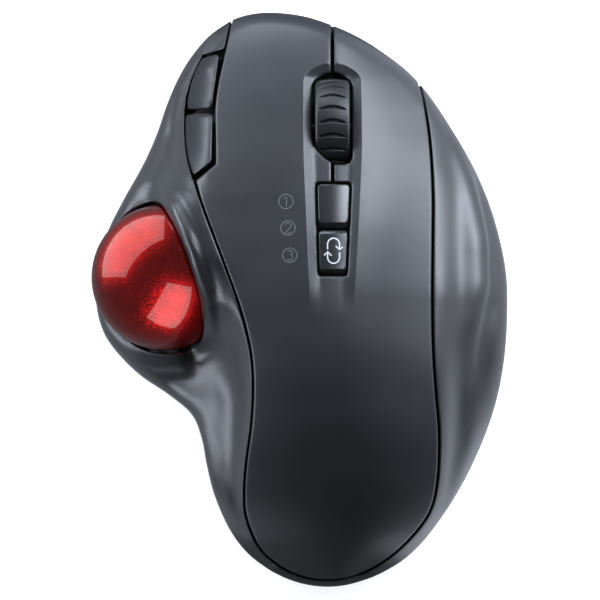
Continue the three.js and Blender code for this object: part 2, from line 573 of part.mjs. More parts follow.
// ---- switches ----
const KEY_SWITCHES = {
  left: { x: -6, y: 51, top: 12.2 },
  right: { x: 21, y: 44, top: 12.2 },
};
const SIDE_BOARD = { x0: -23.5, x1: -14, y0: 31, y1: 55, z: 5.6 };
const SIDE_SWITCHES = [
  { name: "forward", x: -20.8, y: 50, top: 10.3 },
  { name: "back", x: -21.2, y: 37, top: 10.3 },
];
const TOP_BOARD = { x0: -6.5, x1: 15, y0: 6, y1: 27, z: 32.4 };
const TOP_SWITCHES = [
  { name: "dpi", x: 7.6, y: 21.5, top: 36 },
  { name: "mode", x: 7.6, y: 11.2, top: 36 },
];
const MIDDLE_SWITCH = { x: WHEEL.x, y: WHEEL.y, top: 7 };

// A push switch: square case with a round plunger.
function pushSwitch(name, { x, y, top }, foot, half) {
  const plunger = post(x, y, top - 1.2, top, 0.9, 14);
  const box = block(x - half, x + half, y - half, y + half, foot + 0.3, top - 0.8);
  piece(name, join(box, plunger), 0x26282c, 0.5);
}

function makeSwitches() {
  for (const [side, { x, y, top }] of Object.entries(KEY_SWITCHES)) {
    const box = block(x - 2.9, x + 2.9, y - 6.4, y + 6.4, BOARD_TOP + 0.3, top - 1);
    const plunger = block(x - 1.5, x + 1.5, y - 0.7, y + 0.7, top - 1.2, top);
    piece(side + "_switch", join(box, plunger), 0x2c2f33, 0.5);
  }
  for (const s of SIDE_SWITCHES) pushSwitch(s.name + "_switch", s, SIDE_BOARD.z + BOARD_T, 3);
  for (const s of TOP_SWITCHES) pushSwitch(s.name + "_switch", s, TOP_BOARD.z + BOARD_T, 3);
  pushSwitch("wheel_switch", MIDDLE_SWITCH, BOARD_TOP, 3);
}

// The tall posts of the base that carry the top button board.
const TOWERS = [[-4.5, 8], [13, 8], [13, 25.5]];
const TOWER_R = 1.8;

// ---- circuit boards, battery, port ----
const BOARD_OUTLINE = [
  [-12.5, 16], [28, 16], [28, 42], [20, 52], [11, 58.5], [7.5, 60], [-8, 60], [-12.5, 57],
];
function makeElectronics() {
  const towerHole = post(TOWERS[2][0], TOWERS[2][1], 0, TALL, TOWER_R + 0.4);
  piece("main_board", cut(prism(BOARD_OUTLINE, BOARD_Z, BOARD_TOP), towerHole), BOARD_GREEN, 0.5);
  const plateOf = (b) => block(b.x0, b.x1, b.y0, b.y1, b.z, b.z + BOARD_T);
  piece("side_button_board", plateOf(SIDE_BOARD), BOARD_GREEN, 0.5);
  piece("top_button_board", plateOf(TOP_BOARD), BOARD_GREEN, 0.5);
  piece("radio_chip", block(17, 23, 22, 28, BOARD_TOP + 0.3, BOARD_TOP + 1.3), 0x17181a, 0.4);

  const { x, z, width, height, back, front } = PORT;
  const ends = [[1, 0], [-1, Math.PI]];
  const oval = (w, h) =>
    ends.flatMap(([side, turn]) =>
      Array.from({ length: 9 }, (_, k) => {
        const a = turn - Math.PI / 2 + (Math.PI * k) / 8;
        return [x + (side * (w - h)) / 2 + (h / 2) * Math.cos(a), z + (h / 2) * Math.sin(a)];
      }),
    );
  const along = (path, y0, y1) => {
    const shape = new THREE.Shape(path.map(([px, pz]) => new THREE.Vector2(px, pz)));
    const geometry = new THREE.ExtrudeGeometry(shape, { depth: y1 - y0, bevelEnabled: false });
    return solid(geometry.rotateX(Math.PI / 2).translate(0, y1, 0));
  };
  const mouth = along(oval(width - 0.6, height - 0.6), back + 1, front + 1);
  const shell = cut(along(oval(width, height), back, front), mouth);
  const tongue = block(x - 3.3, x + 3.3, back + 0.5, front - 1, z - 0.35, z + 0.35);
  piece("usb_port", join(shell, tongue), 0xb8babd, 0.3, 1);

  piece("battery", roundedBox(-7, 27, -54, -28, BASE_TOP + 0.4, BASE_TOP + 7.4, 2), 0x8d9299, 0.45, 0.4);
  const lights = [[-3.3, 22.7], [-2.8, 16.5], [-2.3, 10.2]];
  const z0 = TOP_BOARD.z + BOARD_T + 0.3;
  lights.forEach(([lx, ly], i) => {
    const chip = block(lx - 1, lx + 1, ly - 0.6, ly + 0.6, z0, z0 + 0.8);
    piece("channel_light_" + (i + 1), chip, 0xd8dce0, 0.3);
  });
  const rail = block(-6, 0.4, 9, 24, 35.4, 36.4);
  const pipes = lights.map(([lx, ly]) => post(lx, ly, 35.4, TALL, 1.2, 14).intersect(clear));
  piece("light_guide", join(rail, ...pipes), 0xcfd6dc, 0.15);
}

// An upright slab with rounded corners.
function roundedBox(x0, x1, y0, y1, z0, z1, r) {
  const shape = new THREE.Shape();
  shape.moveTo(x0 + r, y0);
  shape.lineTo(x1 - r, y0);
  shape.absarc(x1 - r, y0 + r, r, -Math.PI / 2, 0);
  shape.lineTo(x1, y1 - r);
  shape.absarc(x1 - r, y1 - r, r, 0, Math.PI / 2);
  shape.lineTo(x0 + r, y1);
  shape.absarc(x0 + r, y1 - r, r, Math.PI / 2, Math.PI);
  shape.lineTo(x0, y0 + r);
  shape.absarc(x0 + r, y0 + r, r, Math.PI, 1.5 * Math.PI);
  return prism(shape.getPoints(5).map((p) => [p.x, p.y]), z0, z1);
}

// ---- base, feet, power switch, receiver ----
const FEET = {
  front_left: { x: -13, y: 56, w: 11, l: 8 },
  front_right: { x: 25, y: 42, w: 9, l: 11 },
  right: { x: 38, y: -6, w: 7, l: 16 },
  rear: { x: 7, y: -58, w: 20, l: 7 },
  wing: { x: -37, y: -8, w: 9, l: 9 },
};
const FOOT_TOP = 1.5;
const EJECT_R = 5;
const POWER = { x: 8, y: 4, travel: 3 };
const RECEIVER = { x: 10, y: -10, cap: [14.4, 6.6], plug: [12, 4.5], top: 20, ledge: 7.6 };
const BAY_WALL = 1.6;
const BAY_FIT = 0.4; // free space round the stowed receiver
const BOARD_POSTS = [[-10, 18.5], [25.5, 18.5], [-9.5, 55]];
const SIDE_POSTS = [[-18.7, 34], [-18.7, 52.5]];

function makeBase() {
  const plate = prism(offset(outline, -WALL - 0.4), BASE_Z, BASE_TOP);
  const rim = cut(prism(outline, BASE_Z, FRONT_WALL_Z), prism(offset(outline, -3), 0, TALL));
  const underKeys = prism(offset(coverOutline, -GAP), 0, TALL);
  const front = rim.intersect(underKeys).intersect(block(-30, 40, 45, 80, 0, TALL));
  const bosses = Object.values(SCREWS).map(({ x, y }) => post(x, y, BASE_Z, BASE_TOP, BOSS.head + 1));
  const towers = TOWERS.map(([tx, ty]) => post(tx, ty, BASE_TOP - 0.5, TOP_BOARD.z - 0.3, TOWER_R, 12));
  const { x, y, cap, plug, top, ledge } = RECEIVER;
  // A block round the receiver's middle: its size and how much it grows on each side.
  const around = ([w, l], grow, z0, z1) =>
    block(x - w / 2 - grow, x + w / 2 + grow, y - l / 2 - grow, y + l / 2 + grow, z0, z1);
  const bay = around(cap, BAY_WALL, BASE_Z, top + BAY_WALL);
  const plugSpace = around(plug, BAY_FIT, 0, top + BAY_FIT);
  const capSpace = around(cap, BAY_FIT, 0, ledge);
  const dip = post(x, y + cap[1] / 2 + 1, 0, 3.4, 3.4);
  const finger = dip.intersect(block(x - 5, x + 5, y, y + 12, 0, BASE_TOP + 0.1));
  const boardPosts = BOARD_POSTS.map(([bx, by]) => post(bx, by, BASE_TOP - 0.5, BOARD_Z - 0.3, 2, 12));
  const sideFoot = SIDE_BOARD.z - 0.3;
  const sidePosts = SIDE_POSTS.map(([sx, sy]) => post(sx, sy, BASE_TOP - 0.5, sideFoot, 1.8, 12));
  const footPockets = Object.values(FEET).map((f) => footSolid(f, 0.3, 0, FOOT_TOP + 0.3));
  const screwHoles = Object.values(SCREWS).flatMap((s) => [
    post(s.x, s.y, 0, BOSS.headSeat + 0.1, BOSS.head),
    post(s.x, s.y, 0, TALL, BOSS.bore),
  ]);
  const portHole = block(PORT.x - 4.9, PORT.x + 4.9, 55, 70, PORT.z - 2, PORT.z + 2);
  const { x: px, y: py, travel } = POWER;
  const switchSlot = block(px - 2, px + 2, py - 2.2, py + 2.2 + travel, 0, TALL);
  const whole = cut(
    join(plate, front, ...bosses, bay, ...towers, ...boardPosts, ...sidePosts),
    plugSpace, capSpace, finger, ...footPockets, ...screwHoles, portHole, switchSlot,
    post(BALL.x, BALL.y, 0, TALL, EJECT_R),
  );
  piece("base_plate", whole, DARK, 0.6);

  for (const [name, f] of Object.entries(FEET)) {
    piece("foot_" + name, footSolid(f, 0, 0, FOOT_TOP), 0x0f1011, 0.7);
  }

  const knob = join(
    block(px - 1.5, px + 1.5, py - 1.7, py + 1.7, BASE_Z + 0.1, BASE_TOP + 0.8),
    block(px - 1.5, px + 1.5, py - 0.4, py + 0.4, BASE_Z - 0.3, BASE_Z + 0.5),
  );
  piece("power_switch_knob", knob, 0xc9ccd0, 0.5);
  const carriage = block(px - 3, px + 3, py - 4.5, py + 4.5 + travel, BASE_TOP + 1.1, BASE_TOP + 4.6);
  piece("power_switch_body", carriage, 0xaeb2b6, 0.35, 0.8);

  piece("receiver_cap", around(cap, 0, BASE_Z + 0.3, ledge - 0.6), 0x141517, 0.4);
  const half = plug.map((side) => side / 2 - BAY_FIT);
  const mouth = block(x - half[0], x + half[0], y - 0.1, y + half[1], ledge + 3, top + 1);
  piece("receiver_plug", cut(around(plug, 0, ledge - 0.3, top), mouth), 0xc4c6c9, 0.25, 1);
}

function footSolid({ x, y, w, l }, grow, z0, z1) {
  const r = Math.min(w, l) / 2 - 0.3 + grow;
  return roundedBox(x - w / 2 - grow, x + w / 2 + grow, y - l / 2 - grow, y + l / 2 + grow, z0, z1, r);
}

// ---- ball, its cup, bearings and sensor ----
const SENSOR_AXIS = new THREE.Vector3(0.9, -0.25, -0.36).normalize();
const BEARING = { r: 1.25, gap: 0.3, boss: 2.5 };
const BEARING_AXES = [[0.86, 0.3, 0.4], [-0.1, 0.72, -0.69], [-0.05, -0.72, -0.69]];

const ballPoint = (axis, d) => new THREE.Vector3(BALL.x, BALL.y, BALL.z).addScaledVector(axis, d);

// A geometry built along +Z, turned to point along axis, its foot at distance d from the ball's centre.
function onBall(geometry, axis, d) {
  const turn = new THREE.Quaternion().setFromUnitVectors(new THREE.Vector3(0, 0, 1), axis);
  const at = ballPoint(axis, d);
  return solid(geometry.applyQuaternion(turn).translate(at.x, at.y, at.z));
}

function drum(r, h) {
  const geometry = new THREE.CylinderGeometry(r, r, h, 16);
  return geometry.rotateX(Math.PI / 2).translate(0, 0, h / 2);
}
const slab = (w, h) => new THREE.BoxGeometry(w, w, h).translate(0, 0, h / 2);

function makeBall() {
  piece("trackball", sphere(BALL.x, BALL.y, BALL.z, BALL.r, 32), 0x8c0f12, 0.15);
  const bore = BALL.r + BALL_CLEARANCE - 0.1;
  const bowl = sphere(BALL.x, BALL.y, BALL.z, bore + CUP_WALL, 24);
  const seats = BEARING_AXES.map((v) => new THREE.Vector3(...v).normalize());
  const bearingAt = BALL.r + BEARING.gap + BEARING.r;
  const seatBall = (axis, r) => {
    const at = ballPoint(axis, bearingAt);
    return sphere(at.x, at.y, at.z, r, 10);
  };
  const collar = onBall(drum(5.4, 3.6), SENSOR_AXIS, bore - 0.5);
  const room = clear.intersect(block(-60, 60, -60, 60, BASE_TOP + 0.4, TALL));
  const outer = join(bowl, collar, ...seats.map((a) => seatBall(a, BEARING.boss))).intersect(room);
  const holes = seats.map((a) => seatBall(a, BEARING.r + BEARING.gap));
  const cup = cut(
    outer,
    sphere(BALL.x, BALL.y, BALL.z, bore, 24),
    ...holes,
    onBall(drum(3.9, 8), SENSOR_AXIS, bore - 2),
    post(BALL.x, BALL.y, 0, BALL.z, EJECT_R),
  );
  piece("ball_cup", largest(cup), DARK, 0.45);
  seats.forEach((a, i) => piece("support_bearing_" + (i + 1), seatBall(a, BEARING.r), 0xe8e6e0, 0.2));
  piece("sensor_lens", onBall(drum(3.5, 2), SENSOR_AXIS, BALL.r + 0.6), 0xe0e6ea, 0.1);
  piece("sensor_chip", onBall(slab(8, 2.2), SENSOR_AXIS, BALL.r + 4), 0x17181a, 0.4);
  piece("sensor_board", onBall(slab(15, BOARD_T), SENSOR_AXIS, BALL.r + 6.5), BOARD_GREEN, 0.5);
}

// The biggest connected piece of a solid.
function largest(manifold) {
  return manifold.decompose().sort((a, b) => b.volume() - a.volume())[0];
}

// ---- scroll wheel and its carrier ----
const CROWN_ANGLE = Math.PI / 3; // the tyre's tread is an arc from minus to plus this angle
const CROWN_DROP = 2.56; // makes the tread fall 1.3 mm from its middle to its edges

// A turned part of the wheel, from [radius, sideways] points.
function ring(profile, sides) {
  const points = [...profile, profile[0]].map(([r, x]) => new THREE.Vector2(r, x));
  const geometry = new THREE.LatheGeometry(points, sides).rotateZ(-Math.PI / 2);
  return solid(geometry.translate(WHEEL.x, WHEEL.y, WHEEL.z));
}

function makeWheel() {
  const { x, y, z, r, width, hub, axle, grooves } = WHEEL;
  const half = width / 2;
  const rimPart = [[hub - 2, -half + 1], [hub, -half + 1], [hub, half - 1], [hub - 2, half - 1]];
  const web = [[axle + 0.3, -1.2], [hub - 1.5, -1.2], [hub - 1.5, 1.2], [axle + 0.3, 1.2]];
  const end = half - 0.6;
  const sleeve = [[axle + 0.3, -end], [axle + 1.6, -end], [axle + 1.6, end], [axle + 0.3, end]];
  piece("wheel_hub", join(ring(rimPart, 30), ring(web, 30), ring(sleeve, 16)), 0x3a3c40, 0.5);

  const crown = [];
  for (let k = 0; k <= 4; k++) {
    const a = (k / 2 - 1) * CROWN_ANGLE;
    crown.push([r - CROWN_DROP * (1 - Math.cos(a)), (half * Math.sin(a)) / Math.sin(CROWN_ANGLE)]);
  }
  let tyre = ring([[hub + 0.3, half - 0.4], [hub + 0.3, -half + 0.4], ...crown], 36);
  for (let k = 0; k < grooves; k++) {
    const a = (2 * Math.PI * k) / grooves;
    const [gy, gz] = [y + (r + 0.25) * Math.cos(a), z + (r + 0.25) * Math.sin(a)];
    tyre = cut(tyre, rod(gy, gz, x - 2.95, x + 2.95, 0.85, 6));
  }
  piece("wheel_tyre", tyre, 0x17181a, 0.75);
  piece("wheel_axle", rod(y, z, x - 12.2, x + 8, axle), 0xa8aaad, 0.3, 1);

  const arm = (x0, x1) => join(block(x0, x1, y - 4, y + 4, 8, z), rod(y, z, x0, x1, 3.4));
  const bridge = block(x - 6.7, x + 6.7, y - 6, y + 6, 7.8, 9.6);
  const axleSpace = rod(y, z, x - 14, x + 9, axle + 0.3);
  const carrier = join(arm(x - 6.7, x - 5.3), arm(x + 5.3, x + 6.7), bridge);
  piece("wheel_carrier", cut(carrier, axleSpace), 0x2a2c30, 0.5);
  const encoder = block(x - 12, x - 7, y - 3.6, y + 3.6, z - 6, z + 2.6);
  piece("wheel_encoder", cut(encoder, axleSpace), 0x5b6e3a, 0.5);
}

makeShell();
makeButtons();
makeSwitches();
makeElectronics();
makeBase();
makeScrews();
makeBall();
makeWheel();

export default group;
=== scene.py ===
"""The looks of a wireless thumb trackball mouse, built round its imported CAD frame."""
import json
import math
import bmesh
import bpy
import numpy as np
from mathutils import Matrix, Vector
from mathutils.geometry import delaunay_2d_cdt

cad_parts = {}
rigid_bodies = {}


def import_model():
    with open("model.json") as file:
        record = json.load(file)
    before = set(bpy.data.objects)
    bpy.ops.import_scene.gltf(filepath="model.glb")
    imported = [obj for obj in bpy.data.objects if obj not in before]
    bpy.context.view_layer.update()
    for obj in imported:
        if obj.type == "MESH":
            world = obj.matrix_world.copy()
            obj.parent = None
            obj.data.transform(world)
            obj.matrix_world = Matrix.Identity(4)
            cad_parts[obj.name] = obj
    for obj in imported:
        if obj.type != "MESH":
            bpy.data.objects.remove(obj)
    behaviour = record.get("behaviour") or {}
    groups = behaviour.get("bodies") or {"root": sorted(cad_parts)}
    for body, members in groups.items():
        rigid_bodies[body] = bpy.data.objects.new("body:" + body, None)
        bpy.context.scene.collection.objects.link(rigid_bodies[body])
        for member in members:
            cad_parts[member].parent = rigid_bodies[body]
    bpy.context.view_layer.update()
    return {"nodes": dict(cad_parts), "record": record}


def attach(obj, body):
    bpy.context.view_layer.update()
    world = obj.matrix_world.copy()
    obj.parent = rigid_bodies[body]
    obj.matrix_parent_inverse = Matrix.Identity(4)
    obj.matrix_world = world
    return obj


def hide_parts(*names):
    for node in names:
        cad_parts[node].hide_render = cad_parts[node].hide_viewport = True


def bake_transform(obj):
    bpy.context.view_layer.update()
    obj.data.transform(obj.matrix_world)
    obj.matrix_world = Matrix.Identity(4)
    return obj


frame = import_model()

MM = 0.001

# ---- the top surface: the same guide lines as the CAD model, in millimetres ----
# Each guide runs from front to back; "x" is its path and "z" its height, both as [y, value].
OUTLINE = [
  [-8.3, 67.3], [0, 66.6], [7.4, 64.3], [14.2, 61.2], [20, 57.5], [25.5, 53.2], [30.5, 47.5], [35.3, 40.3],
  [40.3, 31.8], [44, 23.4], [46.6, 14.9], [48.2, 6.5], [48.5, -2], [47.8, -13.3], [45.7, -24.5],
  [41.7, -35.8], [35.8, -47.1], [27.8, -58], [19.8, -64], [11.4, -67], [4, -67.4], [-3.5, -65.4],
  [-11, -60.7], [-16, -54.5], [-19.8, -46], [-21.7, -38.6], [-22.9, -32.3], [-25.2, -26.8], [-30.5, -22.3],
  [-38, -17.2], [-44.3, -10.6], [-47.1, -4.8], [-48, 2], [-47.3, 9.7], [-44.9, 16.5], [-41.3, 23.6],
  [-37, 31.3], [-33.8, 38.5], [-31.3, 45.9], [-28.6, 52.2], [-25.3, 57.6], [-20.8, 62.6], [-15, 66],
]
SEAM_FRONT = [
  [-14.6, 72], [-16, 65.8], [-17.6, 58.1], [-19.1, 51], [-19.9, 45], [-19.8, 38], [-19.7, 31.6],
]
SEAM_BACK = [
  [-24.4, 27.7], [-22.6, 22], [-19.9, 14.8], [-16.9, 6.9], [-14.3, -0.3], [-12.4, -6.8], [-11.1, -13.5],
  [-10.8, -21.4], [-11.3, -29.3], [-12.4, -37.6], [-12.9, -44.7], [-12.4, -50.8], [-9.4, -58],
  [-4.8, -62.3],
  [0, -64.7], [5.3, -65.7], [11.6, -65.1], [17, -63], [22.4, -59.1], [27.5, -53.6], [30.6, -48.3],
  [31.9, -41.1], [32.1, -31], [31.3, -21.4], [30.7, -12], [30.5, 0], [30.7, 14.8], [30.8, 24], [30.4, 34.4],
  [29.4, 43.4], [27.9, 50.6], [25.2, 58], [20, 72],
]
BALL_RIM = [
  [-36, 22.2], [-33, 22.6], [-30.6, 20.8], [-28.6, 17.2], [-26.8, 13.4], [-24.6, 7.6], [-23.2, 2.6],
  [-22.4, -2],
  [-22, -6.5], [-22.4, -9], [-24.6, -11], [-28.4, -12], [-33, -12.2], [-38, -10.8],
]
BALL_EDGE = [
  [-33.9, 23.1], [-32.2, 22.2], [-29.8, 18.7], [-27.5, 14], [-25.7, 9.3], [-23.9, 4], [-22.8, -1.3],
  [-22.4, -4.8], [-22.5, -7.7], [-23.4, -10.1], [-24.8, -11.3],
]
GUIDES = [
  {  # left edge
    "x": [[66, -17], [62.6, -20.8], [57.6, -25.3], [52.2, -28.6], [45.9, -31.3], [38.5, -33.8], [31.3, -37],
      [23.6, -41.3], [16.5, -44.9], [9.7, -47.3], [2, -48], [-4.8, -47.1], [-10.6, -44.3], [-17.2, -38],
      [-22.3, -30.5], [-26.8, -25.2], [-32.3, -22.9], [-38.6, -21.7], [-46, -19.8], [-54.5, -16],
      [-60.7, -12], [-66, -9]],
    "z": [[66, 10], [57, 9.6], [45, 10.4], [36, 13.4], [28, 16.4], [20, 16], [10, 13], [0, 12.4], [-10, 13],
      [-17, 15.2], [-22, 18.4], [-26, 22.6], [-33, 25.4], [-40, 24.8], [-46, 23], [-52, 19.4],
      [-60, 11.8], [-67, 6]],
  },
  {  # thumb wing
    "x": [[66, -16.9], [57, -23.9], [48, -29], [40, -31.2], [32, -33], [24, -34.5], [5, -34], [-10, -34],
      [-16, -30], [-21, -26], [-27, -22.9], [-33, -21.1], [-40, -19.9], [-47, -18.2], [-55, -14.7],
      [-62, -10]],
    "z": [[66, 10.4], [57, 9.8], [48, 10.2], [40, 12.4], [34, 15.6], [30, 18.2], [26.5, 20.6], [23, 21.4],
      [16, 20.5], [5, 17.5], [-4, 17.5], [-11, 20.5], [-14, 20.5], [-18, 20.2], [-24, 23.4], [-33, 25.7],
      [-40, 25], [-46, 23.2], [-52, 19.6], [-62, 9.8]],
  },
  {  # lip of the ball's opening, running on along the wall
    "x": [[66, -16.8], [57, -23.6], [48, -28.5], [40, -30.1], [32, -30.6], [26, -30.6], [19.8, -28.6],
      [14.3, -25.4], [7.1, -22.9], [-1.3, -20.9], [-7.6, -20.4], [-12, -21.8], [-18, -21.4], [-25, -20],
      [-33, -18.8], [-40, -18.3], [-47, -17.5], [-55, -14], [-62, -8]],
    "z": [[66, 10.8], [57, 10], [48, 10.4], [40, 12.8], [34, 17.6], [30, 22.4], [26, 28], [19.8, 35],
      [14.3, 38.6], [7.1, 40.1], [-1.3, 37.6], [-7.6, 32], [-12, 26.2], [-18, 25.4], [-25, 26.8],
      [-33, 27.1], [-40, 25.8], [-46, 23.9], [-52, 20], [-62, 10.4]],
  },
  {  # crease at the foot of the main hump
    "x": [[66, -16.6], [59.5, -22.3], [54, -25.4], [48, -27.4], [41.7, -28.3], [36, -28.4], [29, -27.4],
      [22, -25.3], [10, -21.9], [0, -19.2], [-7, -18.2], [-15, -16.6], [-22, -15.2], [-30, -15],
      [-38, -15.3], [-47, -14.8], [-55, -12.6], [-62, -7]],
    "z": [[66, 11], [59.5, 10.8], [54, 12], [48, 14], [41.7, 16.4], [36, 19.8], [32, 24.4], [28, 29.4],
      [22, 35], [15, 38.3], [8, 40.1], [0, 39.3], [-7, 34.6], [-12, 31.4], [-15, 30.8], [-22, 31],
      [-30, 30.8], [-38, 29.2], [-46, 26], [-55, 19], [-62, 11.2]],
  },
  {  # left shoulder of the hump
    "x": [[66, -15.8], [55, -18], [45, -19.6], [35, -20.5], [25, -20.8], [15, -18.8], [5, -15.4],
      [-5, -12.2], [-15, -10.6], [-25, -10.4], [-35, -11.6], [-45, -12.4], [-55, -10], [-62, -5]],
    "z": [[67, 14.6], [60, 19], [50, 24], [40, 28.4], [30, 32.9], [22, 36.3], [15, 39.1], [5, 42],
      [-5, 43.6], [-15, 43.9], [-25, 42], [-35, 37.6], [-45, 30.8], [-55, 21.5], [-62, 13], [-68, 6.5]],
  },
  {  # crest
    "x": [[66, 5], [40, 6.5], [0, 8], [-40, 9.5], [-66, 8]],
    "z": [[67, 17.5], [64, 20], [60, 22.8], [50, 28.4], [40, 33.2], [30, 37.8], [15, 43.5], [0, 46.9],
      [-12, 48], [-25, 46.4], [-40, 40.2], [-50, 32.6], [-58, 23.5], [-64, 14], [-68, 7]],
  },
  {  # right shoulder of the hump
    "x": [[66, 16], [58, 22.5], [50.6, 27.4], [43.4, 29.6], [34.4, 30.6], [23.8, 31.1], [5, 30.9],
      [-14, 31.1], [-30, 32.2], [-41, 31.9], [-48, 30.4], [-54, 27.4], [-59, 22.2], [-64, 15]],
    "z": [[67, 14], [58, 16.5], [50, 19.4], [43, 22.6], [34, 27.2], [24, 31.5], [10, 36], [0, 38.2],
      [-14, 39.2], [-30, 36], [-41, 29.8], [-48, 24.2], [-54, 18.6], [-59, 13.8], [-66, 7]],
  },
  {  # rounded edge of the side beside the seam
    "x": [[66, 17.2], [58, 23.7], [50.6, 28.9], [43.4, 31.4], [34.4, 32.5], [23.8, 33.1], [5, 33.1],
      [-14, 33.3], [-30, 34], [-41, 33.5], [-48, 31.9], [-54, 28.7], [-59, 23.4], [-64, 16.2]],
    "z": [[67, 13.6], [58, 15.8], [50, 18.2], [43, 21], [34, 25.4], [24, 29.8], [10, 34.2], [0, 36.4],
      [-14, 37], [-30, 33.5], [-41, 27.2], [-48, 22], [-54, 17], [-59, 13], [-66, 6.8]],
  },
  {  # finger scoop
    "x": [[66, 18.2], [58, 24.7], [50.6, 30], [43.4, 33], [34.4, 35], [23.8, 36.2], [5, 36.6], [-14, 36.6],
      [-30, 36.3], [-41, 35], [-48, 33], [-54, 29.6], [-59, 24.4], [-64, 17.2]],
    "z": [[67, 13], [58, 14.8], [50, 16.9], [43, 19], [34, 22.4], [24, 26.4], [10, 30.5], [0, 32.4],
      [-8, 32.8], [-16, 31.8], [-30, 28], [-41, 23.2], [-48, 19], [-54, 15], [-59, 12], [-66, 6.6]],
  },
  {  # ridge under the scoop
    "x": [[66, 19.5], [58, 26], [50.6, 31.2], [43.4, 35.4], [34.4, 38.5], [23.8, 41.4], [11, 43.5],
      [5, 43.5], [-3.2, 42.2], [-10.4, 40.6], [-20, 39.6], [-30, 38.8], [-41, 36.7], [-48, 34],
      [-54, 30.4], [-59, 25.4], [-64, 18.2]],
    "z": [[67, 12.4], [58, 13.6], [50, 15.2], [43, 16.8], [34, 19], [24, 21.4], [11, 24.2], [0, 26.8],
      [-10, 28.3], [-20, 27.6], [-30, 25], [-41, 20.6], [-48, 17], [-54, 13.6], [-59, 11.2],
      [-66, 6.4]],
  },
  {  # foot of the ridge
    "x": [[66, 20.5], [58, 27], [50.6, 32.2], [43.4, 36.4], [34.4, 39.4], [23.8, 42.2], [11, 44.3],
      [5, 44.4], [-3.2, 43.1], [-10.4, 41.8], [-20, 41.2], [-30, 40.4], [-41, 37.8], [-48, 34.9],
      [-54, 31.2], [-59, 26.3], [-64, 19]],
    "z": [[67, 12], [58, 12.8], [50, 14.1], [43, 15.4], [34, 17.1], [24, 19.1], [11, 21.6], [0, 24.4],
      [-10, 26.5], [-20, 25.9], [-30, 23.2], [-41, 18.9], [-48, 15.4], [-54, 12.2], [-59, 10.4],
      [-66, 6.2]],
  },
  {  # right edge
    "x": [[66, 24], [58, 30], [53.2, 32], [47.5, 34], [40.3, 37.5], [31.8, 41.5], [23.4, 44.6],
      [14.9, 46.8], [6.5, 48.3], [-2, 48.6], [-13.3, 47.9], [-24.5, 45.8], [-35.8, 41.8], [-47.1, 37],
      [-58, 31], [-64, 27]],
    "z": [[66, 10], [50, 12], [40, 14.2], [30, 16.2], [20, 17.6], [10, 18.4], [0, 19.6], [-12, 20.8],
      [-22, 19.6], [-30, 17], [-41, 13], [-50, 10], [-60, 8], [-66, 5.6]],
  },
]
CHANNEL_LEFT = [[60, 1.2], [50, 0.8], [38, 0.8], [20, 1.4], [5, 2], [-6, 2.6]]
CHANNEL_RIGHT = [[60, 13.8], [50, 14.2], [38, 14.3], [20, 13.6], [5, 12.7], [-6, 12]]

BALL = np.array([-31.6, 5.3, 21.6])
BALL_R = 17.0
EDGE_CLEARANCE = 0.85  # gap between the ball and the edge of its opening
FLEX_Y = 4.0
EDGE_RADIUS = 3.6  # rounding of the shell's outer edge
SEAM_GAP = 0.5
SEAM_RADIUS = 0.42  # rounding of a panel's edge at a seam
CHANNEL_SLOPE = 0.58  # fall of the chamfer round the wheel and the top buttons
CHANNEL_WIDTH = 2.4  # width of that chamfer
CHANNEL_FRONT = (50.6, 4.5)  # where the channel's front arch springs, and its rise
SHELL_FOOT = 1.1  # height of the side shell's lower edge
GUIDE_SPACING = 0.15

# The slot between the keys, clockwise from its front: slit, wheel slot, slit, button opening, slit.
KEY_SLOT = [
    [7.15, 75], [7.15, 52.9], [5.6, 52.5], [4.2, 51.7], [3.2, 50.8], [2.75, 49.8], [2.7, 37.6], [3.1, 35.9],
    [4.1, 34.3], [5.6, 32.8], [7.15, 31.8], [7.15, 27.2], [4.3, 27.2], [3.75, 27], [3.55, 26.5], [4.1, 6.1],
    [4.35, 5.6], [4.8, 5.45], [10.2, 5.45], [10.7, 5.6], [10.9, 6.1],
    [11.9, 26.4], [11.7, 27], [11.2, 27.2], [7.95, 27.2], [7.95, 31.3], [10.2, 31.3], [11.5, 31.7],
    [12.1, 32.9], [12.15, 49.8], [11.7, 50.8], [10.7, 51.7], [9.4, 52.5], [7.95, 52.9], [7.95, 75],
]
SIDE_OPENING = [
    [-22.9, 57.5], [-24.3, 54.6], [-25.6, 51.4], [-26.6, 47.9], [-27.05, 44], [-27.1, 39.8], [-26.8, 36],
    [-26.1, 32], [-24.9, 28], [-19, 26], [-15, 30], [-14, 58], [-17.5, 58.6],
]
FORWARD_BUTTON = [
    [-18.9, 57.4], [-22.9, 56.6], [-24.4, 53.6], [-25.5, 50.6], [-26.1, 47.6], [-26.4, 44.5], [-20.5, 44.5],
    [-20.2, 48], [-19.6, 52],
]
BACK_BUTTON = [
    [-20.4, 43.3], [-26.6, 43.3], [-26.75, 39.8], [-26.4, 35.6], [-25.7, 31.8], [-24.7, 28.8],
    [-20.5, 31.9],
    [-20.4, 37],
]
DPI_BUTTON = [[11.45, 26.7], [4.05, 26.7], [4.3, 16.4], [10.95, 16.4]]
MODE_BUTTON = [[10.95, 16], [4.3, 16], [4.55, 5.9], [10.45, 5.9]]


# ---- curves ----
def tangents(t, v):
    """Tangents of curves through v over rising t, along the last axis, that never overshoot."""
    h = np.diff(t, axis=-1)
    s = np.diff(v, axis=-1) / h
    m = np.zeros_like(v)
    before, after = s[..., :-1], s[..., 1:]
    w1 = 2 * h[..., 1:] + h[..., :-1]
    w2 = h[..., 1:] + 2 * h[..., :-1]
    rising = before * after > 0
    safe_before = np.where(rising, before, 1.0)
    safe_after = np.where(rising, after, 1.0)
    m[..., 1:-1] = np.where(rising, (w1 + w2) / (w1 / safe_before + w2 / safe_after), 0.0)
    m[..., 0] = s[..., 0]
    m[..., -1] = s[..., -1]
    return m


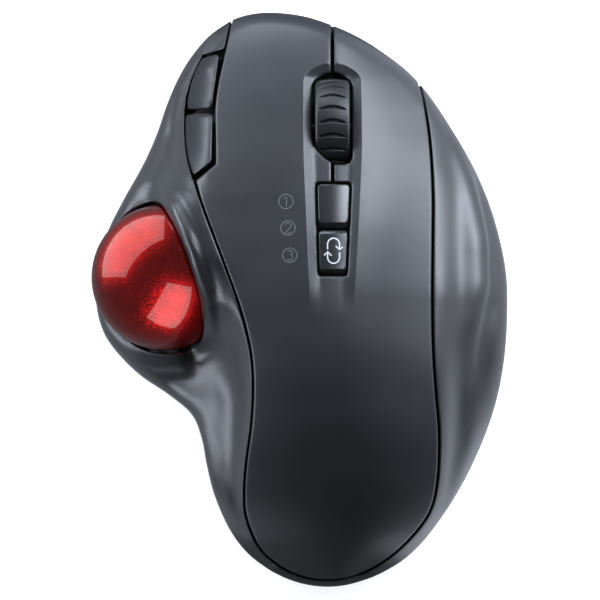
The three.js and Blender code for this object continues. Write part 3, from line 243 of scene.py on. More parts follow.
def hermite(u, h, v0, m0, v1, m1):
    """The cubic from v0 to v1 with end tangents m0 and m1, over a span h; u runs from 0 to 1."""
    a = 2 * u**3 - 3 * u**2 + 1
    return a * v0 + (u**3 - 2 * u**2 + u) * h * m0 + (1 - a) * v1 + (u**3 - u**2) * h * m1


def track(points):
    """A smooth function through [t, value] points, level beyond its ends."""
    table = np.array(sorted(points), float)
    t, v = table[:, 0], table[:, 1]
    m = tangents(t, v)

    def value(at):
        at = np.clip(at, t[0], t[-1])
        i = np.clip(np.searchsorted(t, at, side="right") - 1, 0, len(t) - 2)
        h = t[i + 1] - t[i]
        return hermite((at - t[i]) / h, h, v[i], m[i], v[i + 1], m[i + 1])

    return value


def smooth_path(points, closed, per=8):
    """Points along a smooth curve through the given points."""
    p = np.array(points, float)
    n = len(p)
    if closed:
        before, after, after2 = np.roll(p, 1, 0), np.roll(p, -1, 0), np.roll(p, -2, 0)
    else:
        ends = np.vstack([2 * p[0] - p[1], p, 2 * p[-1] - p[-2]])
        before, after = ends[:-3], ends[2:-1]
        after2 = ends[3:]
        p = p[:-1]
    u = (np.arange(per) / per)[None, :, None]
    m0 = (after - before)[:, None] / 2
    m1 = (after2 - p)[:, None] / 2
    curve = hermite(u, 1.0, p[:, None], m0, after[:, None], m1).reshape(-1, 2)
    return curve if closed else np.vstack([curve, np.array(points[-1], float)])


def resample(path, step, closed):
    """The path's own corners kept, with points added so that no span is longer than step."""
    path = np.asarray(path, float)
    ends = np.roll(path, -1, 0) if closed else path[1:]
    out = []
    for a, b in zip(path, ends):
        count = max(1, math.ceil(np.hypot(*(b - a)) / step))
        out.extend(a + (b - a) * k / count for k in range(count))
    if not closed:
        out.append(path[-1])
    return np.array(out)


def distance(points, path, closed):
    """Distance of each point to the path."""
    a = np.asarray(path, float)
    b = np.roll(a, -1, 0) if closed else a[1:]
    if not closed:
        a = a[:-1]
    along = b - a
    length2 = (along**2).sum(1)
    nearest = np.full(len(points), np.inf)
    for start in range(0, len(points), 4000):
        p = points[start:start + 4000, None]
        t = np.clip(((p - a) * along).sum(2) / length2, 0, 1)
        gap = p - a - t[..., None] * along
        nearest[start:start + 4000] = np.sqrt((gap**2).sum(2)).min(1)
    return nearest


def inside(points, path):
    """Which points lie inside the closed path."""
    path = np.asarray(path, float)
    odd = np.zeros(len(points), bool)
    x, y = points[:, 0], points[:, 1]
    for (x0, y0), (x1, y1) in zip(path, np.roll(path, -1, 0)):
        if y0 != y1:
            odd ^= ((y0 > y) != (y1 > y)) & (x < (x1 - x0) * (y - y0) / (y1 - y0) + x0)
    return odd


def offset(path, by):
    """The closed path moved sideways: positive grows it."""
    path = np.asarray(path, float)
    after = np.roll(path, -1, 0)
    area = (path[:, 0] * after[:, 1] - after[:, 0] * path[:, 1]).sum()
    run = after - path
    normal = np.stack([run[:, 1], -run[:, 0]], 1) / np.hypot(run[:, 0], run[:, 1])[:, None]
    mid = normal + np.roll(normal, 1, 0)
    mid /= np.hypot(mid[:, 0], mid[:, 1])[:, None]
    reach = np.sign(area) * by / np.maximum((mid * normal).sum(1), 0.5)
    return path + mid * reach[:, None]


def ramp(start, end, at):
    """A soft step from 0 at start to 1 at end."""
    t = np.clip((at - start) / (end - start), 0, 1)
    return t * t * (3 - 2 * t)


outline = smooth_path(OUTLINE, True)
cover_line = np.vstack([smooth_path(SEAM_FRONT, False), smooth_path(SEAM_BACK, False)])
guides = [(track(g["x"]), track(g["z"])) for g in GUIDES]
channel_left = track(CHANNEL_LEFT)
channel_right = track(CHANNEL_RIGHT)


# ---- the surface ----
def loft(points):
    """Height of the smooth skin drawn through the guide lines."""
    x, y = points[:, 0], points[:, 1]
    xs = np.stack([path(y) for path, _ in guides], 1)
    zs = np.stack([height(y) for _, height in guides], 1)
    for i in range(1, xs.shape[1]):
        xs[:, i] = np.maximum(xs[:, i], xs[:, i - 1] + GUIDE_SPACING)
    m = tangents(xs, zs)
    i = (x[:, None] > xs[:, 1:-1]).sum(1)
    row = np.arange(len(x))
    h = xs[row, i + 1] - xs[row, i]
    at = np.clip(x, xs[:, 0], xs[:, -1])
    z = hermite((at - xs[row, i]) / h, h, zs[row, i], m[row, i], zs[row, i + 1], m[row, i + 1])
    return z + m[:, 0] * np.minimum(x - xs[:, 0], 0) + m[:, -1] * np.maximum(x - xs[:, -1], 0)


def ball_lip(points):
    """The lip and the two soft grooves that ring the ball's opening."""
    d = distance(points, BALL_RIM, False)
    ring = 0.15 * np.exp(-(((d - 1.2) / 0.9) ** 2)) - 0.28 * np.exp(-((d - 3.2) ** 2))
    return ramp(-42, -34, points[:, 0]) * (ring + 0.2 * np.exp(-((d - 5) ** 2)))


edge_path = smooth_path(BALL_EDGE, False, 4)
edge_flat = ((edge_path - BALL[:2]) ** 2).sum(1)
edge_clear = BALL[2] + np.sqrt(np.maximum((BALL_R + EDGE_CLEARANCE) ** 2 - edge_flat, 0))
edge_lifts = np.column_stack([edge_path, edge_clear - loft(edge_path)])
edge_lifts = np.vstack([edge_lifts, [[-37, 22.6, 0], [-29, -12.4, 0], [-34, -12.6, 0]]])


def ball_collar(points):
    """Brings the surface to the edge of the ball's opening and fades out away from it."""
    d2 = ((points[:, None] - edge_lifts[None, :, :2]) ** 2).sum(2)
    weight = np.exp(-d2 / 4)
    lift = (weight * edge_lifts[:, 2]).sum(1) / (weight.sum(1) + 1e-9)
    return lift * np.exp(-d2.min(1) / 20)


def channel_depth(points):
    """Depth of the chamfered channel round the wheel and the top buttons."""
    x, y = points[:, 0], points[:, 1]
    left, right = channel_left(y), channel_right(y)
    middle, half = (left + right) / 2, (right - left) / 2
    spring, rise = CHANNEL_FRONT
    arch = spring + rise * np.sqrt(np.clip(1 - ((x - middle) / half) ** 2, 0, 1))
    inner = np.minimum(half - np.abs(x - middle), arch - y)
    return ramp(-4.5, 9, y) * CHANNEL_SLOPE * np.clip(inner, 0, CHANNEL_WIDTH)


def surface(points):
    """Height of the whole top surface."""
    rim = np.where(inside(points, outline), distance(points, outline, True), 0)
    e = np.clip(1 - rim / EDGE_RADIUS, 0, 1)
    edge = 0.9 * EDGE_RADIUS * (1 - np.sqrt(1 - e * e))
    return loft(points) + ball_collar(points) + ball_lip(points) - edge - channel_depth(points)


def steepness(points, step=0.2):
    """How much a skin of even thickness grows when measured straight down."""
    gx = (loft(points + [step, 0]) - loft(points - [step, 0])) / (2 * step)
    gy = (loft(points + [0, step]) - loft(points - [0, step])) / (2 * step)
    return np.clip(np.sqrt(1 + gx**2 + gy**2), 1, 2.6)


def ball_opening():
    """The curve, seen from above, where the surface meets the ball's clearance sphere."""
    clearance = BALL_R + EDGE_CLEARANCE
    angle = np.linspace(0, 2 * np.pi, 240, endpoint=False)
    centre = np.array([-34.0, 5.0])
    ray = np.stack([np.cos(angle), np.sin(angle)], 1)
    radius = np.full(len(angle), 22.0)
    moving = np.ones(len(angle), bool)
    for _ in range(400):
        p = centre + ray * radius[:, None]
        space = np.linalg.norm(np.column_stack([p, surface(p)]) - BALL, axis=1)
        moving &= space > clearance
        radius[moving] -= 0.05
        if not moving.any():
            break
    for _ in range(6):
        radius = (np.roll(radius, 1) + 2 * radius + np.roll(radius, -1)) / 4
    return centre + ray * radius[:, None]


# ---- meshes ----
def new_object(name, vertices, faces, material, smooth=True, sharp=()):
    """A mesh in millimetres becomes an object in metres."""
    mesh = bpy.data.meshes.new(name)
    mesh.from_pydata([tuple(v * MM for v in p) for p in np.asarray(vertices, float)], [], faces)
    mesh.validate()
    mesh.polygons.foreach_set("use_smooth", [smooth] * len(mesh.polygons))
    if len(sharp):
        wanted = {tuple(sorted(e)) for e in sharp}
        marks = [tuple(sorted(e.vertices)) in wanted for e in mesh.edges]
        attribute = mesh.attributes.new("sharp_edge", "BOOLEAN", "EDGE")
        attribute.data.foreach_set("value", marks)
    mesh.update()
    obj = bpy.data.objects.new(name, mesh)
    bpy.context.scene.collection.objects.link(obj)
    mesh.materials.append(material)
    return obj


def put(obj, body, slot, *nodes):
    """The object rides on a body and stands for CAD nodes, which are hidden; slot is not used."""
    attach(obj, body)
    if nodes:
        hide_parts(*nodes)


def hex_grid(low, high, step):
    """Points in staggered rows that fill a box."""
    rows = np.arange(low[1], high[1] + step, step * 0.866)
    columns = np.arange(low[0], high[0] + step, step)
    shifted = [columns, columns + step / 2]
    level = np.ones(len(columns))
    return np.vstack([np.column_stack([shifted[k % 2], y * level]) for k, y in enumerate(rows)])


def sideways(path, closed):
    """Unit vectors across the path at its points."""
    run = np.roll(path, -1, 0) - np.roll(path, 1, 0) if closed else np.gradient(path, axis=0)
    return np.stack([run[:, 1], -run[:, 0]], 1) / np.maximum(np.hypot(run[:, 0], run[:, 1]), 1e-9)[:, None]


def edge_rows(path, closed, offsets):
    """Rows of points on both sides of a path."""
    p = np.asarray(path, float)
    normal = sideways(p, closed)
    return np.vstack([p + side * d * normal for d in offsets for side in (-1, 1)])


BEVEL_STEPS = (0.0, 0.04, 0.14, 0.36, 0.72, 1.0)  # rows of a rounded edge, in shares of its radius
# Rows of the outer wall below the edge: how far in, and what share of the height above the foot.
WALL_ROWS = ((0.0, 0.7), (0.15, 0.4), (0.6, 0.12), (1.1, 0.02), (1.5, 0.0), (3.0, 0.0))
WALL_BLEND = 5  # distance from the outer edge over which the inside turns into a wall


def panel(name, material, keep, walls, free=(), spacing=1.0, radius=SEAM_RADIUS, thick=1.8, raised=None,
          foot=None, around_ball=False, creases=()):
    """A closed panel of the surface.

    keep(points) says what belongs to it. walls are closed paths whose edges are rounded by radius; free
    are closed paths that cut it square. foot is the height down to which the outer edge runs.
    """
    step = min(0.55, spacing)
    paths = [resample(w, step, True) for w in walls]
    squares = [resample(f, step, True) for f in free]
    folds = [resample(c, step, False) for c in creases]
    everything = paths + squares + folds
    low = np.min([np.min(p, 0) for p in everything], 0)
    high = np.max([np.max(p, 0) for p in everything], 0)
    near = [edge_rows(p, True, [radius * s for s in BEVEL_STEPS[1:]]) for p in paths]
    near += [edge_rows(p, True, (0.12, 0.4)) for p in squares]
    near += [edge_rows(p, False, (0.1, 0.35)) for p in folds]
    closed_count = len(paths) + len(squares)

    def clear_of_paths(points, gap):
        nearest = [distance(points, p, i < closed_count) for i, p in enumerate(everything)]
        return points[np.min(nearest, 0) > gap]

    grid = clear_of_paths(hex_grid(low, high, spacing), 0.6 * spacing)
    rows = clear_of_paths(np.vstack(near), 0.6 * radius * BEVEL_STEPS[1])
    free_points = np.vstack([rows, grid])
    free_points = free_points[keep(free_points)]
    coordinates, edges = [], []
    for i, p in enumerate(everything):
        start = len(coordinates)
        coordinates.extend(p)
        count = len(p)
        spans = count if i < closed_count else count - 1
        edges.extend((start + k, start + (k + 1) % count) for k in range(spans))
    coordinates.extend(free_points)
    flat = [Vector((float(a), float(b))) for a, b in coordinates]
    vertices, _, triangles, *_ = delaunay_2d_cdt(flat, edges, [], 0, 1e-5, False)
    plan = np.array([(v.x, v.y) for v in vertices])
    triangles = np.array([t for t in triangles if len(t) == 3])
    triangles = triangles[keep(plan[triangles].mean(1))]
    corner = plan[triangles]
    ab, ac = corner[:, 1] - corner[:, 0], corner[:, 2] - corner[:, 0]
    twice_area = ab[:, 0] * ac[:, 1] - ab[:, 1] * ac[:, 0]
    triangles = triangles[np.abs(twice_area) > 1e-7]
    twice_area = twice_area[np.abs(twice_area) > 1e-7]
    triangles[twice_area < 0] = triangles[twice_area < 0][:, ::-1]
    used, triangles = np.unique(triangles, return_inverse=True)
    triangles = triangles.reshape(-1, 3)
    plan = plan[used]
    count = len(plan)

    base = surface(plan) + (raised(plan) if raised else 0)
    edge = np.min([distance(plan, p, True) for p in paths], 0)
    e = np.clip(1 - edge / radius, 0, 1)
    top = np.column_stack([plan, base - radius * (1 - np.sqrt(1 - e * e))])
    under = np.column_stack([plan, base - thick * steepness(plan)])
    rim = distance(plan, outline, True) if foot else None
    if foot:
        share = ramp(0, WALL_BLEND, rim)[:, None]
        edge_zone = rim < WALL_BLEND
        inward = np.zeros((count, 3))
        inward[edge_zone, :2] = inward_of_outline(plan[edge_zone]) * thick * 1.1
        under = (top + inward) * (1 - share) + under * share
        under[:, 2] = np.maximum(under[:, 2], foot + 0.8)
    if around_ball:
        away = under - BALL
        reach = np.linalg.norm(away, axis=1)
        push = np.maximum(BALL_R + 0.5 - reach, 0)
        under = under + away / reach[:, None] * push[:, None]

    sides = dict.fromkeys(pair for a, b, c in triangles for pair in ((a, b), (b, c), (c, a)))
    rim_edges = [(a, b) for a, b in sides if (b, a) not in sides]
    points = [top, under]
    faces = [tuple(t) for t in triangles] + [tuple(count + k for k in reversed(t)) for t in triangles]
    total = 2 * count
    rows_down = {}
    if foot:
        at_edge = np.nonzero(rim < 1e-3)[0]
        for v, way in zip(at_edge, inward_of_outline(plan[at_edge])):
            z = top[v, 2]
            column = [(*(plan[v] + way * inset), foot + (z - foot) * share) for inset, share in WALL_ROWS]
            rows_down[v] = total
            points.append(np.array(column))
            total += len(column)
    for a, b in rim_edges:
        if a in rows_down and b in rows_down:
            chain_a = [a] + [rows_down[a] + k for k in range(len(WALL_ROWS))] + [count + a]
            chain_b = [b] + [rows_down[b] + k for k in range(len(WALL_ROWS))] + [count + b]
            for k in range(len(chain_a) - 1):
                faces.append((chain_b[k], chain_a[k], chain_a[k + 1], chain_b[k + 1]))
        elif a in rows_down or b in rows_down:
            hub = a if a in rows_down else b
            column = [hub] + [rows_down[hub] + k for k in range(len(WALL_ROWS))] + [count + hub]
            other, other_under = (b, count + b) if hub == a else (a, count + a)
            ring = column + [other_under, other]
            faces.append(tuple(ring) if hub == a else tuple(reversed(ring)))
        else:
            faces.append((b, a, count + a, count + b))
    sharp = [(a, b) for a, b in rim_edges if not (a in rows_down and b in rows_down)]
    sharp += [(count + a, count + b) for a, b in rim_edges]
    return new_object(name, np.vstack(points), faces, material, True, sharp)


def inward_of_outline(points):
    """Unit vectors that point in from the outline, at each point's nearest place on it."""
    path = outline
    after = np.roll(path, -1, 0)
    run = np.roll(path, -1, 0) - np.roll(path, 1, 0)
    area = (path[:, 0] * after[:, 1] - after[:, 0] * path[:, 1]).sum()
    normal = np.stack([-run[:, 1], run[:, 0]], 1) * np.sign(area)
    normal /= np.hypot(normal[:, 0], normal[:, 1])[:, None]
    out = np.zeros_like(points)
    for start in range(0, len(points), 4000):
        p = points[start:start + 4000]
        d = ((p[:, None] - path[None]) ** 2).sum(2)
        pick = np.argsort(d, axis=1)[:, :3]
        weight = 1 / (np.take_along_axis(d, pick, 1) + 1e-6)
        vector = (normal[pick] * weight[..., None]).sum(1)
        out[start:start + 4000] = vector / np.hypot(vector[:, 0], vector[:, 1])[:, None]
    return out


# ---- finishes ----
def texture_base(name):
    """A new material with its node tree, its shader and the object's own coordinates."""
    material = bpy.data.materials.new(name)
    material.use_nodes = True
    nodes, links = material.node_tree.nodes, material.node_tree.links
    where = nodes.new("ShaderNodeTexCoord")
    return material, nodes, links, nodes["Principled BSDF"], where.outputs["Object"]


def noise(nodes, links, where, size, detail=2.0):
    """Noise whose lumps are about size millimetres."""
    node = nodes.new("ShaderNodeTexNoise")
    node.inputs["Scale"].default_value = 1 / (size * MM)
    node.inputs["Detail"].default_value = detail
    links.new(where, node.inputs["Vector"])
    return node.outputs["Fac"]


def spread_out(nodes, links, value, low, high):
    """A noise value stretched to run from low to high."""
    node = nodes.new("ShaderNodeMapRange")
    node.inputs["From Min"].default_value = 0.3
    node.inputs["From Max"].default_value = 0.7
    node.inputs["To Min"].default_value = low
    node.inputs["To Max"].default_value = high
    links.new(value, node.inputs["Value"])
    return node.outputs["Result"]


def two_tone(nodes, links, value, dark, light):
    """A colour that runs from dark to light with value."""
    mix = nodes.new("ShaderNodeMix")
    mix.data_type = "RGBA"
    mix.inputs["A"].default_value = (*dark, 1)
    mix.inputs["B"].default_value = (*light, 1)
    links.new(value, mix.inputs["Factor"])
    return mix.outputs["Result"]


def finish(name, colour, roughness, metallic=0.0, grain=0.3, grain_size=0.3, coat=0.0, tone=0.06):
    """A moulded, painted or plated finish: fine grain, slightly uneven gloss and tone."""
    spread = 0.015
    material, nodes, links, shader, where = texture_base(name)
    dark = [c * (1 - tone) for c in colour]
    light = [c * (1 + tone) for c in colour]
    broad = spread_out(nodes, links, noise(nodes, links, where, 9.0, 3.0), 0, 1)
    links.new(two_tone(nodes, links, broad, dark, light), shader.inputs["Base Color"])
    patches = noise(nodes, links, where, 5.0, 3.0)
    gloss = spread_out(nodes, links, patches, roughness - spread, roughness + spread)
    links.new(gloss, shader.inputs["Roughness"])
    shader.inputs["Metallic"].default_value = metallic
    shader.inputs["Coat Weight"].default_value = coat
    shader.inputs["Coat Roughness"].default_value = 0.12
    bump = nodes.new("ShaderNodeBump")
    bump.inputs["Strength"].default_value = grain
    bump.inputs["Distance"].default_value = grain_size * 0.1 * MM
    links.new(noise(nodes, links, where, grain_size, 2.0), bump.inputs["Height"])
    links.new(bump.outputs["Normal"], shader.inputs["Normal"])
    return material


def flake_finish(name, deep, bright, size):
    """Lacquer with fine metal flakes under a clear gloss coat."""
    material, nodes, links, shader, where = texture_base(name)
    cells = nodes.new("ShaderNodeTexVoronoi")
    cells.inputs["Scale"].default_value = 1 / (size * MM)
    links.new(where, cells.inputs["Vector"])
    channels = nodes.new("ShaderNodeSeparateColor")
    links.new(cells.outputs["Color"], channels.inputs["Color"])
    sparkle = nodes.new("ShaderNodeMath")
    sparkle.operation = "POWER"
    sparkle.inputs[1].default_value = 2.2
    links.new(channels.outputs["Red"], sparkle.inputs[0])
    cloud = spread_out(nodes, links, noise(nodes, links, where, 3.0, 3.0), 0.15, 0.75)
    share = nodes.new("ShaderNodeMath")
    share.operation = "MULTIPLY"
    links.new(sparkle.outputs["Value"], share.inputs[0])
    links.new(cloud, share.inputs[1])
    links.new(two_tone(nodes, links, share.outputs["Value"], deep, bright), shader.inputs["Base Color"])
    centred = nodes.new("ShaderNodeVectorMath")
    centred.operation = "SUBTRACT"
    centred.inputs[1].default_value = (0.5, 0.5, 0.5)
    links.new(cells.outputs["Color"], centred.inputs[0])
    tilt = nodes.new("ShaderNodeVectorMath")
    tilt.operation = "SCALE"
    tilt.inputs["Scale"].default_value = 0.22
    links.new(centred.outputs["Vector"], tilt.inputs[0])
    geometry = nodes.new("ShaderNodeNewGeometry")
    total = nodes.new("ShaderNodeVectorMath")
    total.operation = "ADD"
    links.new(geometry.outputs["Normal"], total.inputs[0])
    links.new(tilt.outputs["Vector"], total.inputs[1])
    unit = nodes.new("ShaderNodeVectorMath")
    unit.operation = "NORMALIZE"
    links.new(total.outputs["Vector"], unit.inputs[0])
    links.new(unit.outputs["Vector"], shader.inputs["Normal"])
    shader.inputs["Metallic"].default_value = 0.92
    shader.inputs["Roughness"].default_value = 0.3
    shader.inputs["Coat Weight"].default_value = 1.0
    polish = spread_out(nodes, links, noise(nodes, links, where, 6.0), 0.02, 0.05)
    links.new(polish, shader.inputs["Coat Roughness"])
    return material


def clear_finish(name, tint):
    """Clear plastic."""
    material, nodes, links, shader, where = texture_base(name)
    shader.inputs["Base Color"].default_value = (*tint, 1)
    shader.inputs["Transmission Weight"].default_value = 0.9
    gloss = spread_out(nodes, links, noise(nodes, links, where, 1.5), 0.05, 0.15)
    links.new(gloss, shader.inputs["Roughness"])
    return material


FINISHES = {
    "top_cover": finish("satin_cover", (0.0225, 0.0235, 0.0265), 0.38, grain=0.35, grain_size=0.22),
    # Painted shade: the side shell is the cover's satin plastic with its colour darkened to 0.6, to hold
    # its steep sides down under the low lights and the table glow.
    "side_shell": finish("satin_shell_painted_shade", (0.0135, 0.0142, 0.016), 0.36, grain=0.3, grain_size=0.22),
    "side_buttons": finish("button_grey", (0.021, 0.022, 0.025), 0.45, grain=0.15, grain_size=0.2),
    "top_buttons": finish("button_black", (0.012, 0.0125, 0.014), 0.3, grain=0.15, grain_size=0.2),
    "ball": flake_finish("red_flake", (0.3, 0.001, 0.001), (1.0, 0.015, 0.015), 0.14),
    "wheel_rubber": finish("wheel_rubber", (0.010, 0.010, 0.011), 0.45, grain=0.5, grain_size=0.25),
    "feet": finish("slick_feet", (0.012, 0.012, 0.013), 0.35, grain=0.3, grain_size=0.5),
    "inner_plastic": finish("inner_plastic", (0.012, 0.0125, 0.014), 0.55, grain=0.5, grain_size=0.4),
    "circuit_board": finish("solder_mask", (0.012, 0.09, 0.035), 0.35, grain=0.2, grain_size=0.6, coat=0.3),
    "component_plastic": finish("component_plastic", (0.015, 0.016, 0.018), 0.5),
    "steel": finish("plated_steel", (0.5, 0.5, 0.52), 0.32, metallic=1.0, grain_size=0.25),
    "plated_metal": finish("drawn_metal", (0.6, 0.6, 0.62), 0.22, metallic=1.0, grain=0.2),
    "battery_foil": finish("battery_foil", (0.4, 0.42, 0.45), 0.35, metallic=0.8, grain=0.5,
                           grain_size=2.0),
    "bearing_white": finish("bearing_white", (0.85, 0.84, 0.8), 0.12, grain=0.05, grain_size=0.5,
                            tone=0.02),
    "clear": clear_finish("clear_plastic", (0.85, 0.9, 0.93)),
    "pale_plastic": finish("pale_plastic", (0.62, 0.64, 0.67), 0.4, tone=0.04),
}
BLACK_STEEL = finish("black_steel", (0.05, 0.05, 0.052), 0.4, metallic=1.0, grain=0.2)
PRINT = finish("pale_print", (0.10, 0.105, 0.115), 0.5, grain=0.2, grain_size=0.15, tone=0.04)
ICON_PRINT = finish("white_print", (0.6, 0.61, 0.63), 0.5, grain=0.2, grain_size=0.15, tone=0.03)

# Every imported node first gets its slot's finish; the pieces below then stand for the ones that show.
for part in frame["record"]["subparts"]:
    node = frame["nodes"][part["node"]]
    node.data.materials.clear()
    node.data.materials.append(FINISHES[part["material_slot"]])
frame["nodes"]["wheel_axle"].data.materials[0] = BLACK_STEEL

# ---- the shell and its covers ----
PARTING_X = 7.55
cover_in = offset(cover_line, -SEAM_GAP / 2)
cover_out = offset(cover_line, SEAM_GAP / 2)
opening = ball_opening()
flex_line = [[-30, FLEX_Y], [40, FLEX_Y]]
channel_span = np.arange(-4, 50.7, 1.3)
arch_turn = np.radians(np.linspace(180, 0, 25))
arch_left, arch_right = channel_left(CHANNEL_FRONT[0]), channel_right(CHANNEL_FRONT[0])
channel_edge = np.vstack([
    np.column_stack([channel_left(channel_span), channel_span]),
    np.column_stack([(arch_left + arch_right) / 2 + (arch_right - arch_left) / 2 * np.cos(arch_turn),
                     CHANNEL_FRONT[0] + CHANNEL_FRONT[1] * np.sin(arch_turn)])[1:-1],
    np.column_stack([channel_right(channel_span), channel_span])[::-1],
])
ridge_span = np.arange(-24, 30, 1.5)
ridge_line, ridge_foot = (np.column_stack([guides[i][0](ridge_span), ridge_span]) for i in (9, 10))
key_parting = [[PARTING_X, FLEX_Y], [PARTING_X, 5.45]]  # behind the buttons the keys meet


def in_shell(p):
    cut_away = inside(p, cover_out) | inside(p, SIDE_OPENING) | inside(p, opening)
    return inside(p, outline) & ~cut_away


def in_cover(p):
    return inside(p, cover_in) & inside(p, outline) & ~inside(p, KEY_SLOT)


def in_palm_cover(p):
    return in_cover(p) & (p[:, 1] < FLEX_Y)


def in_left_key(p):
    return in_cover(p) & (p[:, 1] > FLEX_Y) & (p[:, 0] < PARTING_X)


def in_right_key(p):
    return in_cover(p) & (p[:, 1] > FLEX_Y) & (p[:, 0] > PARTING_X)


side_shell = panel("side_shell_visual", FINISHES["side_shell"], in_shell,
                   [cover_out, SIDE_OPENING, opening], [outline], foot=SHELL_FOOT,
                   around_ball=True, creases=[ridge_line, ridge_foot])
put(side_shell, "shell", "side_shell", "side_shell")

palm_cover = panel("palm_cover_visual", FINISHES["top_cover"], in_palm_cover,
                   [cover_in, KEY_SLOT], creases=[flex_line, channel_edge], spacing=0.9)
put(palm_cover, "shell", "top_cover", "palm_cover")

KEY_FOOT = 10.4  # lowest edge of the keys' noses


def flex_with(obj):
    """Bakes the object's placement into its mesh."""
    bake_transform(obj)


for side, keep in (("left", in_left_key), ("right", in_right_key)):
    key = panel(side + "_key_visual", FINISHES["top_cover"], keep,
                [cover_in, KEY_SLOT], [outline], foot=KEY_FOOT, spacing=0.75,
                creases=[flex_line, key_parting, channel_edge])
    flex_with(key)
    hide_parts(side + "_key")


# ---- buttons ----
def facets(points, table):
    """Height above the surface along y, straight between the table's [y, height] points."""
    ys = [row[0] for row in table]
    return np.interp(points[:, 1], ys, [row[1] for row in table])


def rounded(corners, radius, per=5):
    """The closed path with its corners rounded."""
    p = np.asarray(corners, float)
    out = []
    for before, corner, after in zip(np.roll(p, 1, 0), p, np.roll(p, -1, 0)):
        a, b = before - corner, after - corner
        reach = min(radius, 0.45 * np.hypot(*a), 0.45 * np.hypot(*b))
        start = corner + a / np.hypot(*a) * reach
        end = corner + b / np.hypot(*b) * reach
        for t in np.linspace(0, 1, per):
            out.append((1 - t) ** 2 * start + 2 * t * (1 - t) * corner + t * t * end)
    return np.array(out)


def cap(button, slot, path, table, radius, crown):
    """A button's cap, with facets along y and a crown across it; gives its height above the surface."""
    path = rounded(path, 1.0)
    middle = (path[:, 0].min() + path[:, 0].max()) / 2
    half = (path[:, 0].max() - path[:, 0].min()) / 2

    def raised(p):
        return facets(p, table) + crown * (1 - ((p[:, 0] - middle) / half) ** 2)

    levels = [y for y, _ in table if path[:, 1].min() + 0.15 < y < path[:, 1].max() - 0.15]
    obj = panel(button + "_button_visual", FINISHES[slot], lambda p: inside(p, path), [path], radius=radius,
                spacing=0.7, thick=1.6, raised=raised, creases=[level_line(y, path) for y in levels])
    put(obj, button + "_cap", slot, button + "_button")
    return raised


def level_line(y, path):
    """The line at y that crosses the inside of the path."""
    xs = np.linspace(path[:, 0].min(), path[:, 0].max(), 801)
    points = np.column_stack([xs, np.full(len(xs), y)])
    kept = points[inside(points, path)]
    return np.array([kept[0], kept[-1]])


FORWARD_PROFILE = [[40, -1.0], [44.5, -0.75], [46.2, 0.35], [56.0, 0.3], [58, 0.1]]
BACK_PROFILE = [[28, 0.2], [42.4, 0.35], [43.3, -0.2], [44, -0.2]]
DPI_PROFILE = [[16, -0.9], [16.4, -0.85], [17.86, 0.42], [26.7, 0.42], [27, 0.42]]
MODE_PROFILE = [[5.5, -0.9], [5.9, -0.85], [7.1, 0.38], [15.2, 0.42], [16.05, -0.05], [17, -0.05]]
cap("forward", "side_buttons", FORWARD_BUTTON, FORWARD_PROFILE, 0.45, 0.35)
cap("back", "side_buttons", BACK_BUTTON, BACK_PROFILE, 0.45, 0.35)
cap("dpi", "top_buttons", DPI_BUTTON, DPI_PROFILE, 0.28, 0.2)
mode_raised = cap("mode", "top_buttons", MODE_BUTTON, MODE_PROFILE, 0.28, 0.2)

WELL_DEPTH = 5.3  # of the dark liner under the side buttons
liner = rounded(SIDE_OPENING, 0.3)
well = panel("side_button_well", FINISHES["inner_plastic"], lambda p: inside(p, liner), [liner],
             spacing=1.2, thick=0.6, raised=lambda p: -WELL_DEPTH)
put(well, "shell", "inner_plastic")


# ---- printing, as thin raised ink ----
def ink(name, lines, width, height, material, lift=0.03, depth=0.08):
    """Closed ribbons laid on a surface. lines holds (points, closed) pairs in plan."""
    vertices, faces = [], []
    for points, closed in lines:
        p = np.asarray(points, float)
        normal = sideways(p, closed)
        left, right = p + normal * width / 2, p - normal * width / 2
        start = len(vertices)
        for l, r, zl, zr in zip(left, right, height(left), height(right)):
            vertices += [(*l, zl + lift), (*r, zr + lift), (*r, zr - depth), (*l, zl - depth)]
        count = len(p)
        for k in range(count if closed else count - 1):
            a, b = start + 4 * k, start + 4 * ((k + 1) % count)
            faces += [(a + s, b + s, b + (s + 1) % 4, a + (s + 1) % 4) for s in range(4)]
        if not closed:
            end = start + 4 * (count - 1)
            faces += [(start, start + 1, start + 2, start + 3), (end + 3, end + 2, end + 1, end)]
    return new_object(name, vertices, faces, material, False)


def arc(centre, radius, start, end, count):
    """Points along an arc, with its ends given in degrees."""
    turn = np.radians(np.linspace(start, end, count))
    return np.column_stack([centre[0] + radius * np.cos(turn), centre[1] + radius * np.sin(turn)])


NUMERALS = [
    ([-3.24, 22.7], [[-0.42, 0.72], [0.12, 1.12], [0.12, -1.15]]),
    ([-2.75, 16.6], np.vstack([arc((0, 0.5), 0.66, 165, -35, 14), [[-0.7, -1.15], [0.74, -1.15]]])),
    ([-2.35, 10.3], np.vstack([arc((0, 0.56), 0.58, 150, -80, 12), arc((0, -0.5), 0.66, 80, -150, 14)])),
]
for number, (centre, strokes) in enumerate(NUMERALS, 1):
    circle = arc(centre, 1.65, 0, 352.5, 48)
    numeral = np.add(strokes, centre)
    mark = ink("channel_number_%d" % number, [(circle, True), (numeral, False)], 0.22, surface, PRINT)
    flex_with(mark)

ICON_CENTRE = (7.72, 11.33)
up = np.vstack([[[-1.38, 0.36]], arc((0, 1.51), 1.38, 180, 0, 16), [[1.37, 0.44]]])
down = -up
heads = [[[0.49, 1.07], [1.37, 0.28], [2.11, 0.86]], [[-2.17, -1.04], [-1.35, -0.21], [-0.49, -1.12]]]
icon_lines = [(np.add(line, ICON_CENTRE), False) for line in (up, down, *heads)]
icon = ink("mode_icon", icon_lines, 0.3, lambda p: surface(p) + mode_raised(p), ICON_PRINT)
put(icon, "mode_cap", "pale_plastic")


